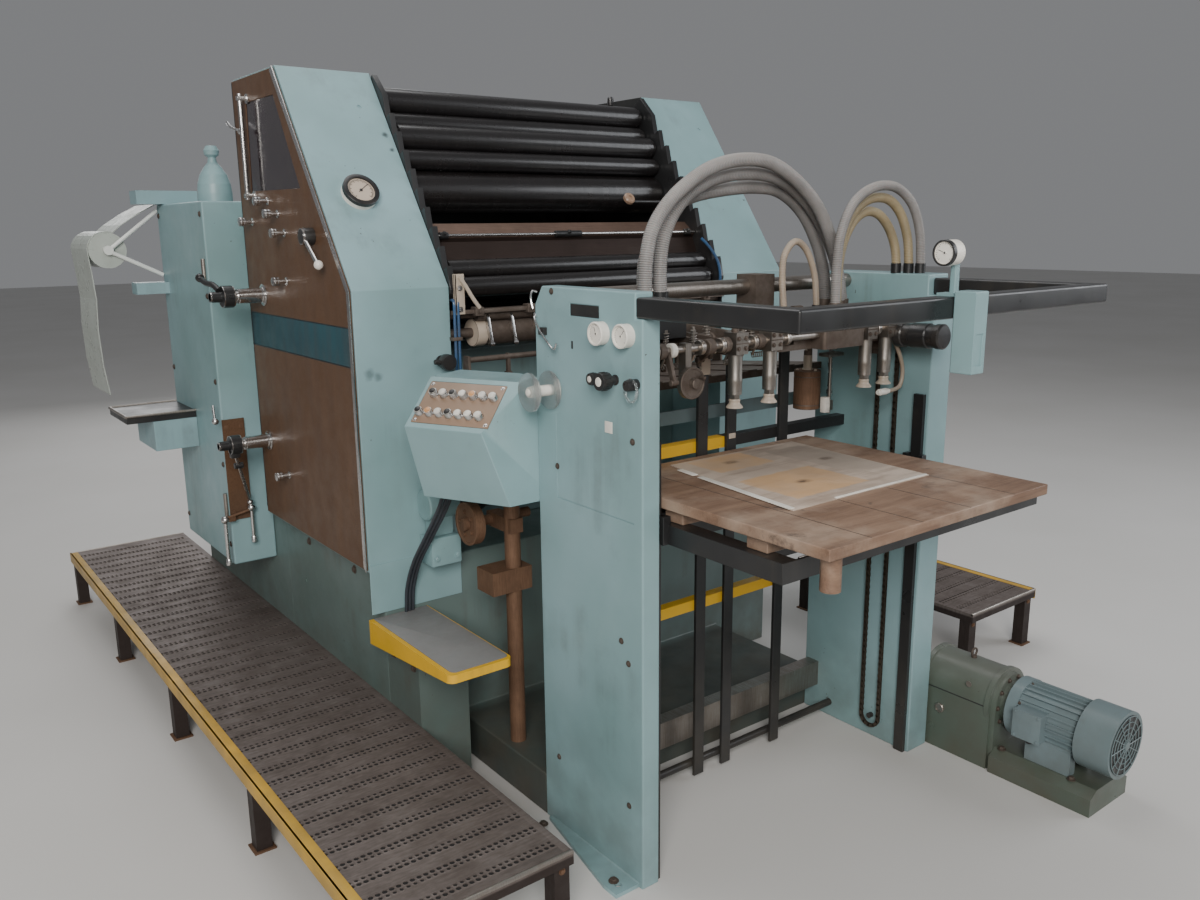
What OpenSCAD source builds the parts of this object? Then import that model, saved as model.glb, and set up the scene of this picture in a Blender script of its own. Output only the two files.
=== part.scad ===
// Sheet-fed offset printing press: pile feeder, printing unit with open ink
// rollers, operator's gallery, delivery end, and the vacuum pump beside it.
// X runs across the machine (operator side is -X), Y runs from feeder to
// delivery, Z is up. The origin is under the middle of the printing unit.

/* [Feeder] */
// Front edge of the feeder side plates, from the middle of the printing unit
feeder_front_y = -1265; // [-1400:5:-1200]
// Clear width between the two feeder side plates
feeder_inner_w = 980; // [900:10:1060]
// Sideways offset of the feeder's middle
feeder_cx = -10; // [-20:1:20]
// Depth of a feeder side plate
feeder_d = 405; // [380:5:430]
// Height of a feeder side plate
feeder_h = 1413; // [1350:1:1450]
// Thickness of the operator's side plate
op_side_t = 50; // [40:1:70]
// Thickness of the drive side plate, which houses the chain drive
dr_side_t = 90; // [70:1:110]

/* [Guard rail] */
// Outside size of the square guard rail tube
rail_s = 45; // [35:1:50]
// How far the guard rail stands out in front of the feeder plates
rail_reach = 430; // [350:5:500]
// Height of the rail seat on the side plates
rail_seat_z = 1358; // [1300:1:1370]

/* [Pile] */
// Width of the pile board across the machine
board_w = 770; // [650:5:780]
// Length of the pile board along the machine
board_l = 732; // [600:5:740]
// Thickness of the pile board
board_t = 25; // [18:1:30]
// Height of the top of the pile board at rest
board_top_z = 955; // [900:1:980]
// Sideways offset of the board on its carrier
board_cx = -94; // [-100:1:0]
// Height of the battens under the board
batten_h = 33; // [20:1:40]
// Leg length of the carrier's angle iron
carrier_leg = 45; // [35:1:50]
// Thickness of the carrier's angle iron
carrier_t = 6; // [4:1:8]

/* [Front guides] */
// Width of a hanging front guide bar
guide_w = 35; // [25:1:40]
// Thickness of a hanging front guide bar
guide_t = 10; // [6:1:14]
// Side of the square safety bars behind the guides
cross_s = 30; // [20:1:35]

/* [Printing unit] */
// Half width over the side cabinets
unit_half_w = 812; // [780:1:850]
// Width of one side cabinet
cabinet_w = 287; // [250:1:300]
// Half length of the cabinets along the machine
unit_half_l = 396; // [380:1:420]
// Height of the cabinets
unit_h = 2000; // [1950:1:2050]
// Height of the knee where the slanted front begins
knee_z = 1390; // [1350:1:1430]
// How far the slanted front runs back at the top
slant_run = 430; // [400:1:450]
// Height of the bed under the cabinets
bed_h = 616; // [580:1:640]
// How far the bed stands back from the cabinet sides
bed_inset = 40; // [20:1:60]
// Thickness of the laminate side panel
panel_t = 6; // [4:1:8]

/* [Rollers] */
// Radius of the ink form rollers
roller_r_big = 38; // [34:0.5:40]
// Radius of the ink rider rollers
roller_r_small = 31; // [28:0.5:33]
// Radius of the ink drum
drum_r = 62; // [55:0.5:66]
// Radius of the lower rollers
damp_r = 29; // [26:0.5:30]
// Gap left at each roller nip
nip = 0.3; // [0.2:0.1:0.6]
// Radius of a roller journal
journal_r = 12; // [8:0.5:14]
// Radial running clearance of a journal in its bracket
run_clear = 0.05; // [0.02:0.01:0.1]
// Thickness of a roller bracket
bracket_t = 18; // [12:1:20]

/* [Gallery] */
// Width of the footboard beside the machine
walk_w = 460; // [400:5:500]
// Length of the footboard
walk_l = 3005; // [2800:5:3100]
// Height of the footboard's top
walk_top_z = 215; // [180:1:240]
// Thickness of the footboard's deck
walk_deck_t = 30; // [20:1:40]

/* [Steps] */
// Height of the step plates
step_z = 480; // [440:1:500]
// Width of a step plate
step_w = 182; // [160:1:190]
// Length of a step plate
step_l = 462; // [420:1:462]

/* [Delivery] */
// Half width over the delivery's side housings
housing_half_w = 920; // [880:1:950]
// Height of the side housings
housing_h = 1640; // [1600:1:1680]
// Length of the side housings along the machine
housing_l = 535; // [450:5:560]
// Rear end of the delivery frames
delivery_rear_y = 1435; // [1350:5:1480]
// Thickness of a delivery frame
delivery_t = 50; // [40:1:60]

/* [Drive-side step] */
// Width of the low step on the drive side
low_step_w = 405; // [350:5:450]
// Length of the low step on the drive side
low_step_l = 800; // [600:10:900]

/* [Pump] */
// Half width of the pump's cast body, and radius of its round top
pump_r = 92; // [80:1:100]
// Length of the pump's cast body
pump_l = 230; // [180:5:240]
// Radius of the pump motor's housing
motor_r = 84; // [65:1:88]
// Length of the pump motor
motor_l = 300; // [260:5:320]

/* [Hidden] */
$fn = 48;

press_green = [0.52, 0.64, 0.66];
press_shade = [0.38, 0.49, 0.49];
black = [0.09, 0.09, 0.10];
steel = [0.62, 0.62, 0.60];
chrome = [0.80, 0.80, 0.80];
brown = [0.47, 0.34, 0.26];
safety_yellow = [0.87, 0.74, 0.16];
white = [0.88, 0.87, 0.83];

eps = 1;
seat = 0.3;

in_l = feeder_cx - feeder_inner_w / 2;
in_r = feeder_cx + feeder_inner_w / 2;
op_outer = in_l - op_side_t;
dr_outer = in_r + dr_side_t;
ledge_d = 24;
foot_t = 10;
foot_w = 70;

rail_z0 = rail_seat_z;
rail_op_x = op_outer + rail_s / 2;
rail_dr_x = dr_outer - 25 - rail_s / 2;

board_y0 = -460;
board_z0 = board_top_z - board_t;
batten_z0 = board_z0 - batten_h;
board_x0 = board_cx - board_w / 2;
carrier_top = batten_z0;
carrier_gap = 20;
carrier_y0 = -345;
carrier_y1 = 215;
carrier_x0 = in_l + carrier_gap;
carrier_x1 = in_r - carrier_gap;

guide_y = 290;
guide_xs = [-313, -108, -2, 203];
guide_top = 1225;
guide_bottom = 15;
head_bar_h = 30;
cross_low_z = 515;
cross_high_z = 960;
floor_rod_z = 48;
floor_rod_r = 11;

slide_w = 32;
slide_t = 12;
slide_y = 26;
slide_top = 1085;
chain_ys = [105, 166];
chain_w = 14;
chain_t = 9;
chain_top = 1290;
chain_bottom = 70;
chain_x_off = 5;

cab_inner = unit_half_w - cabinet_w;
slant_len = norm([slant_run, unit_h - knee_z]);
slant_a = atan2(unit_h - knee_z, slant_run);

bed_rear_y = 1295;
housing_y = 470;
housing_inner = 700;
housing_z = 430;
frame_outer = housing_inner - 20;
frame_top = 1590;
frame_step_z = 1280;
low_step_x = 1110;
low_step_y = -1065;

walk_x1 = -(unit_half_w - bed_inset) - seat;
walk_x0 = walk_x1 - walk_w;
walk_y0 = feeder_front_y - 30;

module at_feeder() { translate([0, feeder_front_y, 0]) children(); }

// A cylinder along X from x0 to x1
module bar_x(r, x0, x1, y, z) {
    translate([x0, y, z]) rotate([0, 90, 0]) cylinder(r = r, h = x1 - x0);
}

// A cylinder along Y from y0 to y1
module bar_y(r, y0, y1, x, z) {
    translate([x, y0, z]) rotate([-90, 0, 0]) cylinder(r = r, h = y1 - y0);
}

// A box given by its two corners
module block(a, b) { translate(a) cube(b - a); }

// A rounded rectangle from the origin, with corners of radius r
module rounded(w, l, r) {
    translate([r, 0]) square([w - 2 * r, l]);
    translate([0, r]) square([w, l - 2 * r]);
    for (x = [r, w - r]) for (y = [r, l - r]) translate([x, y]) circle(r = r);
}

// A polygon of [y, z] points, extruded along X from x0 to x1
module plate_yz(points, x0, x1) {
    translate([x0, 0, 0]) rotate([90, 0, 90]) linear_extrude(x1 - x0) polygon(points);
}

// A polygon of [x, z] points, extruded along Y from y0 to y1
module plate_xz(points, y0, y1) {
    translate([0, y1, 0]) rotate([90, 0, 0]) linear_extrude(y1 - y0) polygon(points);
}

// Places its children on the slanted front: t up the slope from the knee,
// n outwards from the slant, with the children's X along the machine's X
module on_slant(t, n) {
    translate([0, -unit_half_l, knee_z]) rotate([slant_a, 0, 0]) translate([0, t, n]) children();
}

// Feeder

module side_outline() {
    polygon([[0, 0], [feeder_d, 0], [feeder_d, feeder_h - 45], [feeder_d - 30, feeder_h],
        [ledge_d, feeder_h], [ledge_d, rail_seat_z], [0, rail_seat_z]]);
}

module foot_flange(x, side, y0 = 15) {
    near = x - side * eps;
    far = x + side * foot_w;
    difference() {
        linear_extrude(foot_t) polygon([[near, y0], [far, y0], [far, y0 + 50],
            [x + side * foot_t, feeder_d - 26], [near, feeder_d - 26]]);
        translate([x + side * foot_w * 0.6, y0 + 28, -eps]) cylinder(r = 9, h = foot_t + 2 * eps);
    }
}

module feeder_side_operator() {
    color(press_green) at_feeder() {
        difference() {
            translate([op_outer, 0, 0]) rotate([90, 0, 90]) linear_extrude(op_side_t) side_outline();
            for (p = [[34, 1090], [322, 983], [77, 612]])
                bar_x(5, op_outer - eps, op_outer + 8, p[0], p[1]);
            block([op_outer - eps, 30, 903], [op_outer + 2, 325, 906]);
            block([op_outer - eps, 322, 903], [op_outer + 2, 325, 1115]);
            block([op_outer - eps, 150, 1348], [op_outer + 2, 262, 1379]);
        }
        foot_flange(op_outer, -1);
    }
}

module feeder_side_drive() {
    color(press_green) at_feeder() {
        translate([in_r, 0, 0]) rotate([90, 0, 90]) linear_extrude(dr_side_t) side_outline();
        foot_flange(dr_outer, 1, 40);
    }
}

module feeder_cross_tubes() {
    color(steel) at_feeder() {
        bar_x(20, in_l, in_r, 305, 1388);
        bar_x(16, in_l, in_r, 365, 1236);
        block([in_l, 350, 90], [in_r, 395, 170]);
    }
}

module air_valve_block() {
    color(black) at_feeder() {
        block([in_l, 190, 1290], [-430, 275, 1350]);
        block([-440, 150, 1290], [-290, 275, 1350]);
        for (h = [[hose_a, suction_hose_r], [hose_b, suction_hose_r], [hose_c, suction_hose_r - 2]])
            hose_socket(h[0][0], h[1], 1350);
        for (h = [hose_d, hose_e, hose_f])
            hose_socket(last(h), blower_hose_r - 2, feeder_h + eps);
        block([0, 185, 1310], [250, 215, 1330]);
        for (h = [hose_l[0], last(hose_l)]) hose_socket(h, link_hose_r, 1330);
    }
}

module guard_rail() {
    z1 = rail_z0 + rail_s;
    color(black) at_feeder() {
        block([rail_op_x - rail_s / 2, -rail_reach, rail_z0], [rail_op_x + rail_s / 2, ledge_d, z1]);
        block([rail_dr_x - rail_s / 2, -rail_reach, rail_z0], [rail_dr_x + rail_s / 2, ledge_d, z1]);
        block([rail_op_x, -rail_reach, rail_z0], [rail_dr_x, -rail_reach + rail_s, z1]);
    }
}

dial_r = 26;
box_x0 = -90;
box_x1 = -44;
box_d = 50;
gauge_x = -57;
gauge_y = -rail_reach + 23;
gauge_z = 1490;
module rail_switch_box() {
    front = -rail_reach - box_d;
    z1 = rail_z0 + rail_s;
    color(press_green) at_feeder() {
        difference() {
            block([box_x0, front, 1248], [box_x1, -rail_reach, z1 + 12]);
            block([box_x0 + 10, front - eps, 1265], [box_x1 - 10, front + 3, 1330]);
        }
        block([box_x0 + 6, -rail_reach - eps, z1], [box_x1 - 6, -rail_reach + rail_s, z1 + 6]);
        block([gauge_x - 7, gauge_y - 7, z1 + 5], [gauge_x + 7, gauge_y + 7, gauge_z + dial_r - 8]);
    }
}

module gauge_on_x(x, y, z, r, depth) {
    difference() {
        bar_x(r, x - depth, x, y, z);
        bar_x(r - 4, x - depth - eps, x - depth + 3, y, z);
    }
    bar_x(r * 0.16, x - depth, x - depth + 6, y, z);
}
module gauges() {
    color(white) at_feeder() {
        gauge_on_x(op_outer, 138, 1319, dial_r, 20);
        gauge_on_x(op_outer, 50, 1320, dial_r, 20);
        gauge_on_x(gauge_x - 7, gauge_y, gauge_z, dial_r, 34);
    }
    color(black) on_slant(306, 0) translate([-696, 0, 0]) difference() {
        cylinder(r = 50, h = 24);
        translate([0, 0, 18]) cylinder(r = 42, h = 10);
    }
}

module ball_knob_x(x, y, z, r, l) {
    bar_x(r, x - l, x - l * 0.45, y, z);
    bar_x(r * 0.45, x - l * 0.5, x, y, z);
}
module control_knobs() {
    color(black) {
        at_feeder() {
            ball_knob_x(op_outer, 143, 1219, 13, 34);
            ball_knob_x(op_outer, 92, 1220, 19, 48);
            bar_x(11, op_outer - 30, op_outer, 20, 1218);
            block([op_outer - 12, 355, 1298], [op_outer, 375, 1316]);
        }
        // Knob on the upright front of the operator cabinet
        translate([-560, -unit_half_l, 1186]) rotate([90, 0, 0]) {
            cylinder(r = 9, h = 26);
            translate([0, 0, 24]) cylinder(r = 21, h = 28);
        }
    }
}

module setting_wheel() {
    y = 340;
    z = 1168;
    color([0.85, 0.9, 0.9, 0.5]) at_feeder() {
        bar_x(12, op_outer - 66, op_outer, y, z);
        bar_x(46, op_outer - 66, op_outer - 61, y, z);
        bar_x(46, op_outer - 9, op_outer - 4, y, z);
    }
}

module front_guides() {
    color(black) at_feeder() {
        for (x = guide_xs)
            block([x - guide_w / 2, guide_y - guide_t, guide_bottom], [x + guide_w / 2, guide_y, guide_top]);
        block([in_l, guide_y - guide_t, guide_top - eps], [in_r, guide_y + 20, guide_top + head_bar_h]);
    }
}

module cross_bars() {
    y0 = guide_y;
    color(safety_yellow) at_feeder() {
        for (z = [cross_low_z, cross_high_z])
            block([in_l, y0, z], [in_r, y0 + cross_s, z + cross_s]);
    }
    color(black) at_feeder() bar_x(floor_rod_r, in_l, in_r, y0 + floor_rod_r, floor_rod_z);
}

module guide_rails() {
    color(black) at_feeder() {
        for (s = [-1, 1]) {
            x = s < 0 ? in_l : in_r - slide_t;
            block([x, slide_y - slide_w / 2, 0], [x + slide_t, slide_y + slide_w / 2, slide_top]);
            pin = chain_x_off + chain_t;
            for (z = [chain_bottom, chain_top])
                bar_x(8, s < 0 ? in_l : in_r - pin, s < 0 ? in_l + pin : in_r,
                    (chain_ys[0] + chain_ys[1]) / 2, z);
        }
    }
}

module hoist_chains() {
    mid = (chain_ys[0] + chain_ys[1]) / 2;
    r = (chain_ys[1] - chain_ys[0]) / 2;
    color(steel) at_feeder() for (s = [-1, 1]) {
        x = s < 0 ? in_l + chain_x_off : in_r - chain_x_off - chain_t;
        translate([x, 0, 0]) rotate([90, 0, 90]) linear_extrude(chain_t) difference() {
            hull() for (z = [chain_bottom, chain_top]) translate([mid, z]) circle(r = r + chain_w / 2);
            hull() for (z = [chain_bottom + 30, chain_top - 30])
                translate([mid, z]) circle(r = r - chain_w / 2);
            for (z = [chain_bottom, chain_top]) translate([mid, z]) circle(r = 8.2);
        }
    }
}

module angle_y(x, y0, y1, z, side) {
    plate_xz([[x, z], [x + side * carrier_leg, z], [x + side * carrier_leg, z - carrier_t],
        [x + side * carrier_t, z - carrier_t], [x + side * carrier_t, z - carrier_leg],
        [x, z - carrier_leg]], y0, y1);
}
module pile_carrier() {
    color(black) at_feeder() {
        angle_y(carrier_x0, carrier_y0, carrier_y1, carrier_top, 1);
        angle_y(carrier_x1, carrier_y0, carrier_y1, carrier_top, -1);
        for (y = [carrier_y0, carrier_y1 - carrier_t])
            block([carrier_x0, y, carrier_top - carrier_leg], [carrier_x1, y + carrier_t, carrier_top]);
        for (y = [carrier_y0 + 120, 0, carrier_y1 - 120])
            block([carrier_x0, y, carrier_top - carrier_leg], [carrier_x1, y + 30, carrier_top - carrier_t]);
        // Guide shoes that ride on the slide bars
        for (s = [-1, 1]) {
            face = s < 0 ? in_l : in_r;
            a = face - s * 5;
            b = face - s * (carrier_gap + carrier_t);
            for (y = [slide_y - slide_w / 2 - 2 - 14, slide_y + slide_w / 2 + 2])
                block([min(a, b), y, carrier_top - carrier_leg], [max(a, b), y + 14, carrier_top + 20]);
        }
    }
}

module pile_board() {
    color(brown) at_feeder() {
        translate([board_x0, board_y0, board_z0]) cube([board_w, board_l, board_t]);
        for (y = [carrier_y0 + 60, -30, carrier_y1 - 90])
            block([board_x0 + 20, y, batten_z0], [board_x0 + board_w - 20, y + 60, board_z0]);
        translate([-437, -430, batten_z0 - 40]) cylinder(r = 21, h = board_z0 - batten_z0 + 40);
    }
}

head_y = 175;
head_z0 = 1235;
head_z1 = 1310;
front_shaft_r = 9;
front_shaft_z = 1272;
pile_motor_r = 38;
pile_motor_h = 112;
pile_motor_x = 325;
module suction_head() {
    color(steel) at_feeder() {
        difference() {
            union() {
                translate([-20, 105, head_z0]) linear_extrude(head_z1 - head_z0) rounded(430, 170, 14);
                translate([105, 60, head_z0]) linear_extrude(head_z1 + 20 - head_z0) rounded(160, 90, 10);
                // Bearing housings of the two cam shafts, on top of the casting
                for (x = [0, 52, 178])
                    bar_x(19, x, x + 30, head_y + 62, head_z1 + 4);
                bar_x(8, -14, 222, head_y + 62, head_z1 + 4);
            }
            for (x = [20, 290, 350])
                block([x - 18, 104, 1250], [x + 18, 130, 1292]);
            block([236, 165, head_z1 - 14], [262, 245, head_z1 + 1]);
            bar_x(front_shaft_r + seat, 104, 266, head_y - 90, front_shaft_z);
        }
        // Small motor and feeler rod of the pile control, hung under the guides' head bar
        hang_z = guide_top - eps - seat;
        translate([pile_motor_x, guide_y + 15, 0]) {
            translate([0, 0, hang_z - 86 - pile_motor_h]) cylinder(r = pile_motor_r, h = pile_motor_h);
            translate([0, 0, hang_z - 90]) cylinder(r = 12, h = 60);
            translate([0, -5, hang_z - 34]) cylinder(r = 8, h = 34);
        }
        translate([pile_motor_x + 88, guide_y + 5, hang_z - 222]) {
            cylinder(r = 6, h = 222);
            translate([-13, -10, 190]) cube([26, 20, 32]);
        }
        for (h = hose_ends()) hose_socket(h[0], h[1], h[2]);
        // Hanger that clamps the head to the upper cross tube
        difference() {
            block([60, 262, 1300], [130, 335, 1420]);
            bar_x(20 + seat, 59, 131, 305, 1388);
        }
    }
}
function last(v) = v[len(v) - 1];
function hose_ends() = [[last(hose_a), suction_hose_r, head_z1], [last(hose_b), suction_hose_r, head_z1],
    [last(hose_c), suction_hose_r - 2, head_z1], [hose_d[0], blower_hose_r, head_z1 + 20],
    [hose_e[0], blower_hose_r, head_z1 + 20], [hose_f[0], blower_hose_r, head_z1 + 20]];
// A tubular socket that stands under the end of a hose, up to its end face
module hose_socket(end, r, z0) {
    translate([end[0], end[1], z0 - eps]) cylinder(r = r + 3, h = end[2] - z0 + eps);
}

sucker_xs = [-190, -70, 300, 385];
disc_x = -352;
disc_z = 1196;
disc_r = 37;
module sucker_shafts() {
    y = head_y - 90;
    color(steel) at_feeder() {
        bar_x(12, in_l, in_r, head_y + 190, 1290);
        for (x = [-420, -300, -180, 240, 340, 430])
            bar_x(26, x, x + 16, head_y + 190, 1290);
        bar_x(front_shaft_r, in_l, in_r, y, front_shaft_z);
        // Hand disc of the side air blast, on a clamp of the front shaft
        block([disc_x - 9, y - 12, disc_z], [disc_x + 9, y + 12, front_shaft_z + 14]);
        bar_y(disc_r, y - 26, y - 14, disc_x, disc_z);
        bar_y(12, y - 36, y + 12, disc_x, disc_z);
        for (x = sucker_xs) {
            translate([x, y, 1150]) cylinder(r = 17, h = 108);
            translate([x, y, 1128]) cylinder(r = 11, h = 24);
            translate([x, y, 1118]) cylinder(r1 = 20, r2 = 12, h = 12);
            block([x - 20, y - 23, 1248], [x + 20, y + 20 - seat, 1300]);
        }
    }
}

table_y0 = feeder_front_y + feeder_d - 20;
table_y1 = -unit_half_l + 20;
table_z0 = 1140;
table_z1 = 1095;
table_t = 20;
tape_t = 3;
tape_w = 40;
tape_xs = [-360, -180, 0, 180, 340];
wheel_r = 20;
wheel_y = -unit_half_l - 34;
wheel_shaft_z = 1185;
infeed_r = 40;
infeed_y = -unit_half_l + 51;
infeed_z = knee_z - 138;
nip_bar_r = 18;
function table_top(y) = table_z0 + (table_z1 - table_z0) * (y - table_y0) / (table_y1 - table_y0);
module feed_table() {
    wheel_z = table_top(wheel_y) + tape_t + seat + wheel_r;
    color(steel) {
        plate_yz([[table_y0, table_z0 - table_t], [table_y1, table_z1 - table_t],
            [table_y1, table_z1], [table_y0, table_z0]], in_l, in_r);
        for (x = tape_xs)
            plate_yz([[table_y0, table_z0 + seat], [table_y1, table_z1 + seat],
                [table_y1, table_z1 + tape_t], [table_y0, table_z0 + tape_t]],
                x - tape_w / 2, x + tape_w / 2);
        // Hold-down wheels on arms, on a shaft across the end of the table
        bar_x(8, in_l, in_r, wheel_y, wheel_shaft_z);
        for (x = [in_l, in_r - 8])
            plate_yz([[wheel_y - 22, table_top(wheel_y) - 8], [wheel_y + 22, table_top(wheel_y) - 8],
                [wheel_y + 12, wheel_shaft_z + 12], [wheel_y - 12, wheel_shaft_z + 12]], x, x + 8);
        for (x = tape_xs) {
            bar_x(wheel_r, x - 7, x + 7, wheel_y, wheel_z);
            block([x - 5, wheel_y - 6, wheel_z], [x + 5, wheel_y + 6, wheel_shaft_z + 10]);
        }
        // Infeed cylinder and the nip bar above it, held between the cabinets
        infeed_half = cab_inner - 95;
        bar_x(infeed_r, -infeed_half, infeed_half, infeed_y, infeed_z);
        bar_x(14, -cab_inner + seat, cab_inner - seat, infeed_y, infeed_z);
        bar_x(nip_bar_r, -infeed_half, infeed_half, infeed_y - 27, infeed_z + 53);
        bar_x(8, -cab_inner + seat, cab_inner - seat, infeed_y - 27, infeed_z + 53);
    }
}

// Printing unit

module unit_bed() {
    w = unit_half_w - bed_inset;
    color(press_shade) {
        difference() {
            block([-w, -unit_half_l, 0], [w, bed_rear_y, bed_h]);
            block([-w - eps, 350, 60], [-w + 2, 353, bed_h - 40]);
            bar_x(7, -w - eps, -w + 4, 203, 418);
        }
        block([op_outer, feeder_front_y + feeder_d, 0], [in_r + 40, -unit_half_l + eps, 120]);
    }
}

function cabinet_points(inset) = [[-unit_half_l + inset, bed_h + inset], [-unit_half_l + inset, knee_z],
    [-unit_half_l + slant_run + inset, unit_h - inset], [unit_half_l - inset, unit_h - inset],
    [unit_half_l - inset, bed_h + inset]];

apron_z = 493;
module cabinet(side) {
    x0 = side < 0 ? -unit_half_w : cab_inner;
    color(press_green) difference() {
        plate_yz(concat([[-unit_half_l, bed_h], [-unit_half_l, apron_z], [-unit_half_l - 3, apron_z],
            [-unit_half_l - 3, bed_h + 20], [-unit_half_l, bed_h + 20]],
            [for (i = [1 : 4]) cabinet_points(0)[i]]), x0, x0 + cabinet_w);
        on_slant(slant_len - 130, -3) translate([x0 + cabinet_w * 0.75, 0, 0]) cylinder(r = 7, h = 10);
        // Joint round the sheet-metal cover on the drive side
        if (side > 0) difference() {
            plate_yz(cabinet_points(36), unit_half_w - 2, unit_half_w + eps);
            plate_yz(cabinet_points(40), unit_half_w - 3, unit_half_w + 2 * eps);
        }
    }
}
module cabinet_operator() { cabinet(-1); }
module cabinet_drive() { cabinet(1); }

module unit_covers() {
    color(press_shade) {
        block([-cab_inner, -150, bed_h], [cab_inner, unit_half_l - 30, 1180]);
        block([-cab_inner, unit_half_l - 30, bed_h], [cab_inner, unit_half_l - 10, unit_h - 60]);
        block([-cab_inner, 40, 1180], [cab_inner, unit_half_l - 29, 1240]);
    }
}

// How far back the slanted front lies at height z
function slant_y(z) = -unit_half_l + slant_run * (z - knee_z) / (unit_h - knee_z);
window_top = unit_h - 78;
window_bottom = unit_h - 340;
window_rear = unit_half_l - 106;
window_pts = [[window_rear - 11, window_top], [slant_y(window_top) + 68, window_top],
    [slant_y(window_bottom) + 98, window_bottom], [window_rear, window_bottom + 4]];
// The recessed stripe between the upper and the lower laminate sheet
stripe_z = knee_z - 205;
stripe_h = 109;
window_mid = [window_rear - 160, (window_top + window_bottom) / 2];
module operator_panel() {
    x1 = -unit_half_w;
    color(brown) difference() {
        plate_yz(cabinet_points(6), x1 - panel_t, x1);
        plate_yz(window_pts, x1 - panel_t - eps, x1 + eps);
        block([x1 - panel_t - eps, -unit_half_l, stripe_z],
            [x1 - panel_t / 2, unit_half_l, stripe_z + stripe_h]);
    }
}

module window_glass() {
    x1 = -unit_half_w;
    color([0.12, 0.10, 0.12]) plate_yz(
        [for (p = window_pts) window_mid + 0.997 * (p - window_mid)], x1 - 3.3, x1 - seat);
}

// Places of the small knobs: y, and height above the knee
knob_spots = [[150, 242], [76, 204], [297, 183], [32, 149], [45, 11], [151, -597]];
module panel_fittings() {
    x1 = -unit_half_w - panel_t;
    a = cabinet_points(2);
    b = cabinet_points(16);
    color(chrome) {
        // Edge trim along the front of the panel
        plate_yz([a[0], a[1], a[2], [b[2][0] + 2, b[2][1] + 4], [b[1][0], b[1][1] - 4], b[0]], x1 - 3, x1);
        for (p = knob_spots) {
            bar_x(6, x1 - 26, x1, p[0], knee_z + p[1]);
            bar_x(13, x1 - 44, x1 - 25, p[0], knee_z + p[1]);
        }
        for (p = [[253, 1351, 22], [310, 880, 20]]) {
            bar_x(p[2], x1 - 84, x1, p[0], p[1]);
            bar_x(p[2] * 0.7, x1 - 165, x1 - 83, p[0], p[1]);
            difference() {
                bar_x(p[2] * 1.5, x1 - 130, x1 - 96, p[0], p[1]);
                block([x1 - 131, p[0] - 3, p[1] + p[2] * 0.9], [x1 - 95, p[0] + 3, p[1] + p[2] * 2]);
            }
        }
        // Grab rod beside the window
        rod_y = window_rear - 28;
        translate([x1 - 22, rod_y, window_bottom - 20]) cylinder(r = 6, h = window_top - window_bottom + 40);
        for (z = [window_bottom - 16, window_top + 4])
            block([x1 - 26, rod_y - 8, z], [x1, rod_y + 8, z + 12]);
    }
}

lever_y = -unit_half_l + 221;
lever_z = knee_z + 140;
lever_a = 51;
module impression_lever() {
    x1 = -unit_half_w - panel_t;
    color(chrome) {
        bar_x(22, x1 - 34, x1 - seat, lever_y, lever_z);
        translate([x1 - 26, lever_y, lever_z]) rotate([180 - lever_a, 0, 0]) {
            cylinder(r = 6, h = 112);
            translate([0, 0, 118]) sphere(r = 12);
        }
    }
}

// Rollers: each is placed down the slant from the one above, touching it
roller_r = [roller_r_big, roller_r_small, roller_r_big, roller_r_small, drum_r];
top_t = slant_len - 62;
top_n = -44;
function roller_pos(i) = i == 0 ? [top_t, top_n]
    : let (p = roller_pos(i - 1), d = roller_r[i] + roller_r[i - 1] + nip,
        a = i == 4 ? 42 : (i % 2 == 1 ? 14 : -14)) [p[0] - d * cos(a), p[1] - d * sin(a)];
damp_pos_2 = [20, -40];
function damp_pos(i) = i == 0 ? [damp_pos_2[0] + 2 * damp_r + nip, damp_pos_2[1]] : damp_pos_2;
roller_gap = 5;

core_step = 6;
cover_inset = 12;
module roller_body(pos, r) {
    end = cab_inner - 1;
    core = cab_inner - bracket_t - roller_gap;
    cover = core - cover_inset;
    on_slant(pos[0], pos[1]) rotate([0, 90, 0]) rotate_extrude() polygon([[0, -end], [journal_r, -end],
        [journal_r, -core], [r - core_step, -core], [r - core_step, -cover], [r - 2, -cover],
        [r, -cover + 2], [r, cover - 2], [r - 2, cover], [r - core_step, cover], [r - core_step, core],
        [journal_r, core], [journal_r, end], [0, end]]);
}
module ink_roller(i) { color(black) roller_body(roller_pos(i), roller_r[i]); }
module damp_roller(i) { color(black) roller_body(damp_pos(i), damp_r); }

tooth = 66;
module bracket_outline() {
    polygon(concat([[-20, -130], [-20, -6]],
        [for (i = [0 : 1 : 9]) for (k = [0, 1]) [-12 + i * tooth + k * tooth * 0.94, k == 0 ? 2 : 26]],
        [[slant_len - 14, 10], [slant_len - 14, -130]]));
}
module roller_bracket(x0) {
    difference() {
        translate([x0, -unit_half_l, knee_z]) rotate([slant_a, 0, 0]) rotate([90, 0, 90])
            linear_extrude(bracket_t) bracket_outline();
        for (i = [0 : 4]) on_slant(roller_pos(i)[0], roller_pos(i)[1])
            bar_x(journal_r + run_clear, x0 - eps, x0 + bracket_t + eps, 0, 0);
        for (i = [0, 1]) on_slant(damp_pos(i)[0], damp_pos(i)[1])
            bar_x(journal_r + run_clear, x0 - eps, x0 + bracket_t + eps, 0, 0);
    }
}
module roller_brackets() {
    color(black) {
        roller_bracket(-cab_inner);
        roller_bracket(cab_inner - bracket_t);
    }
}

module wash_tray() {
    l = cab_inner - bracket_t;
    color(brown) on_slant(0, 0) plate_yz([[236, -48], [239, -42], [178, -24], [172, -38], [112, -50],
        [110, -58], [108, -140], [114, -140], [116, -64], [176, -46], [182, -32]], -l, l);
}

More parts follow.
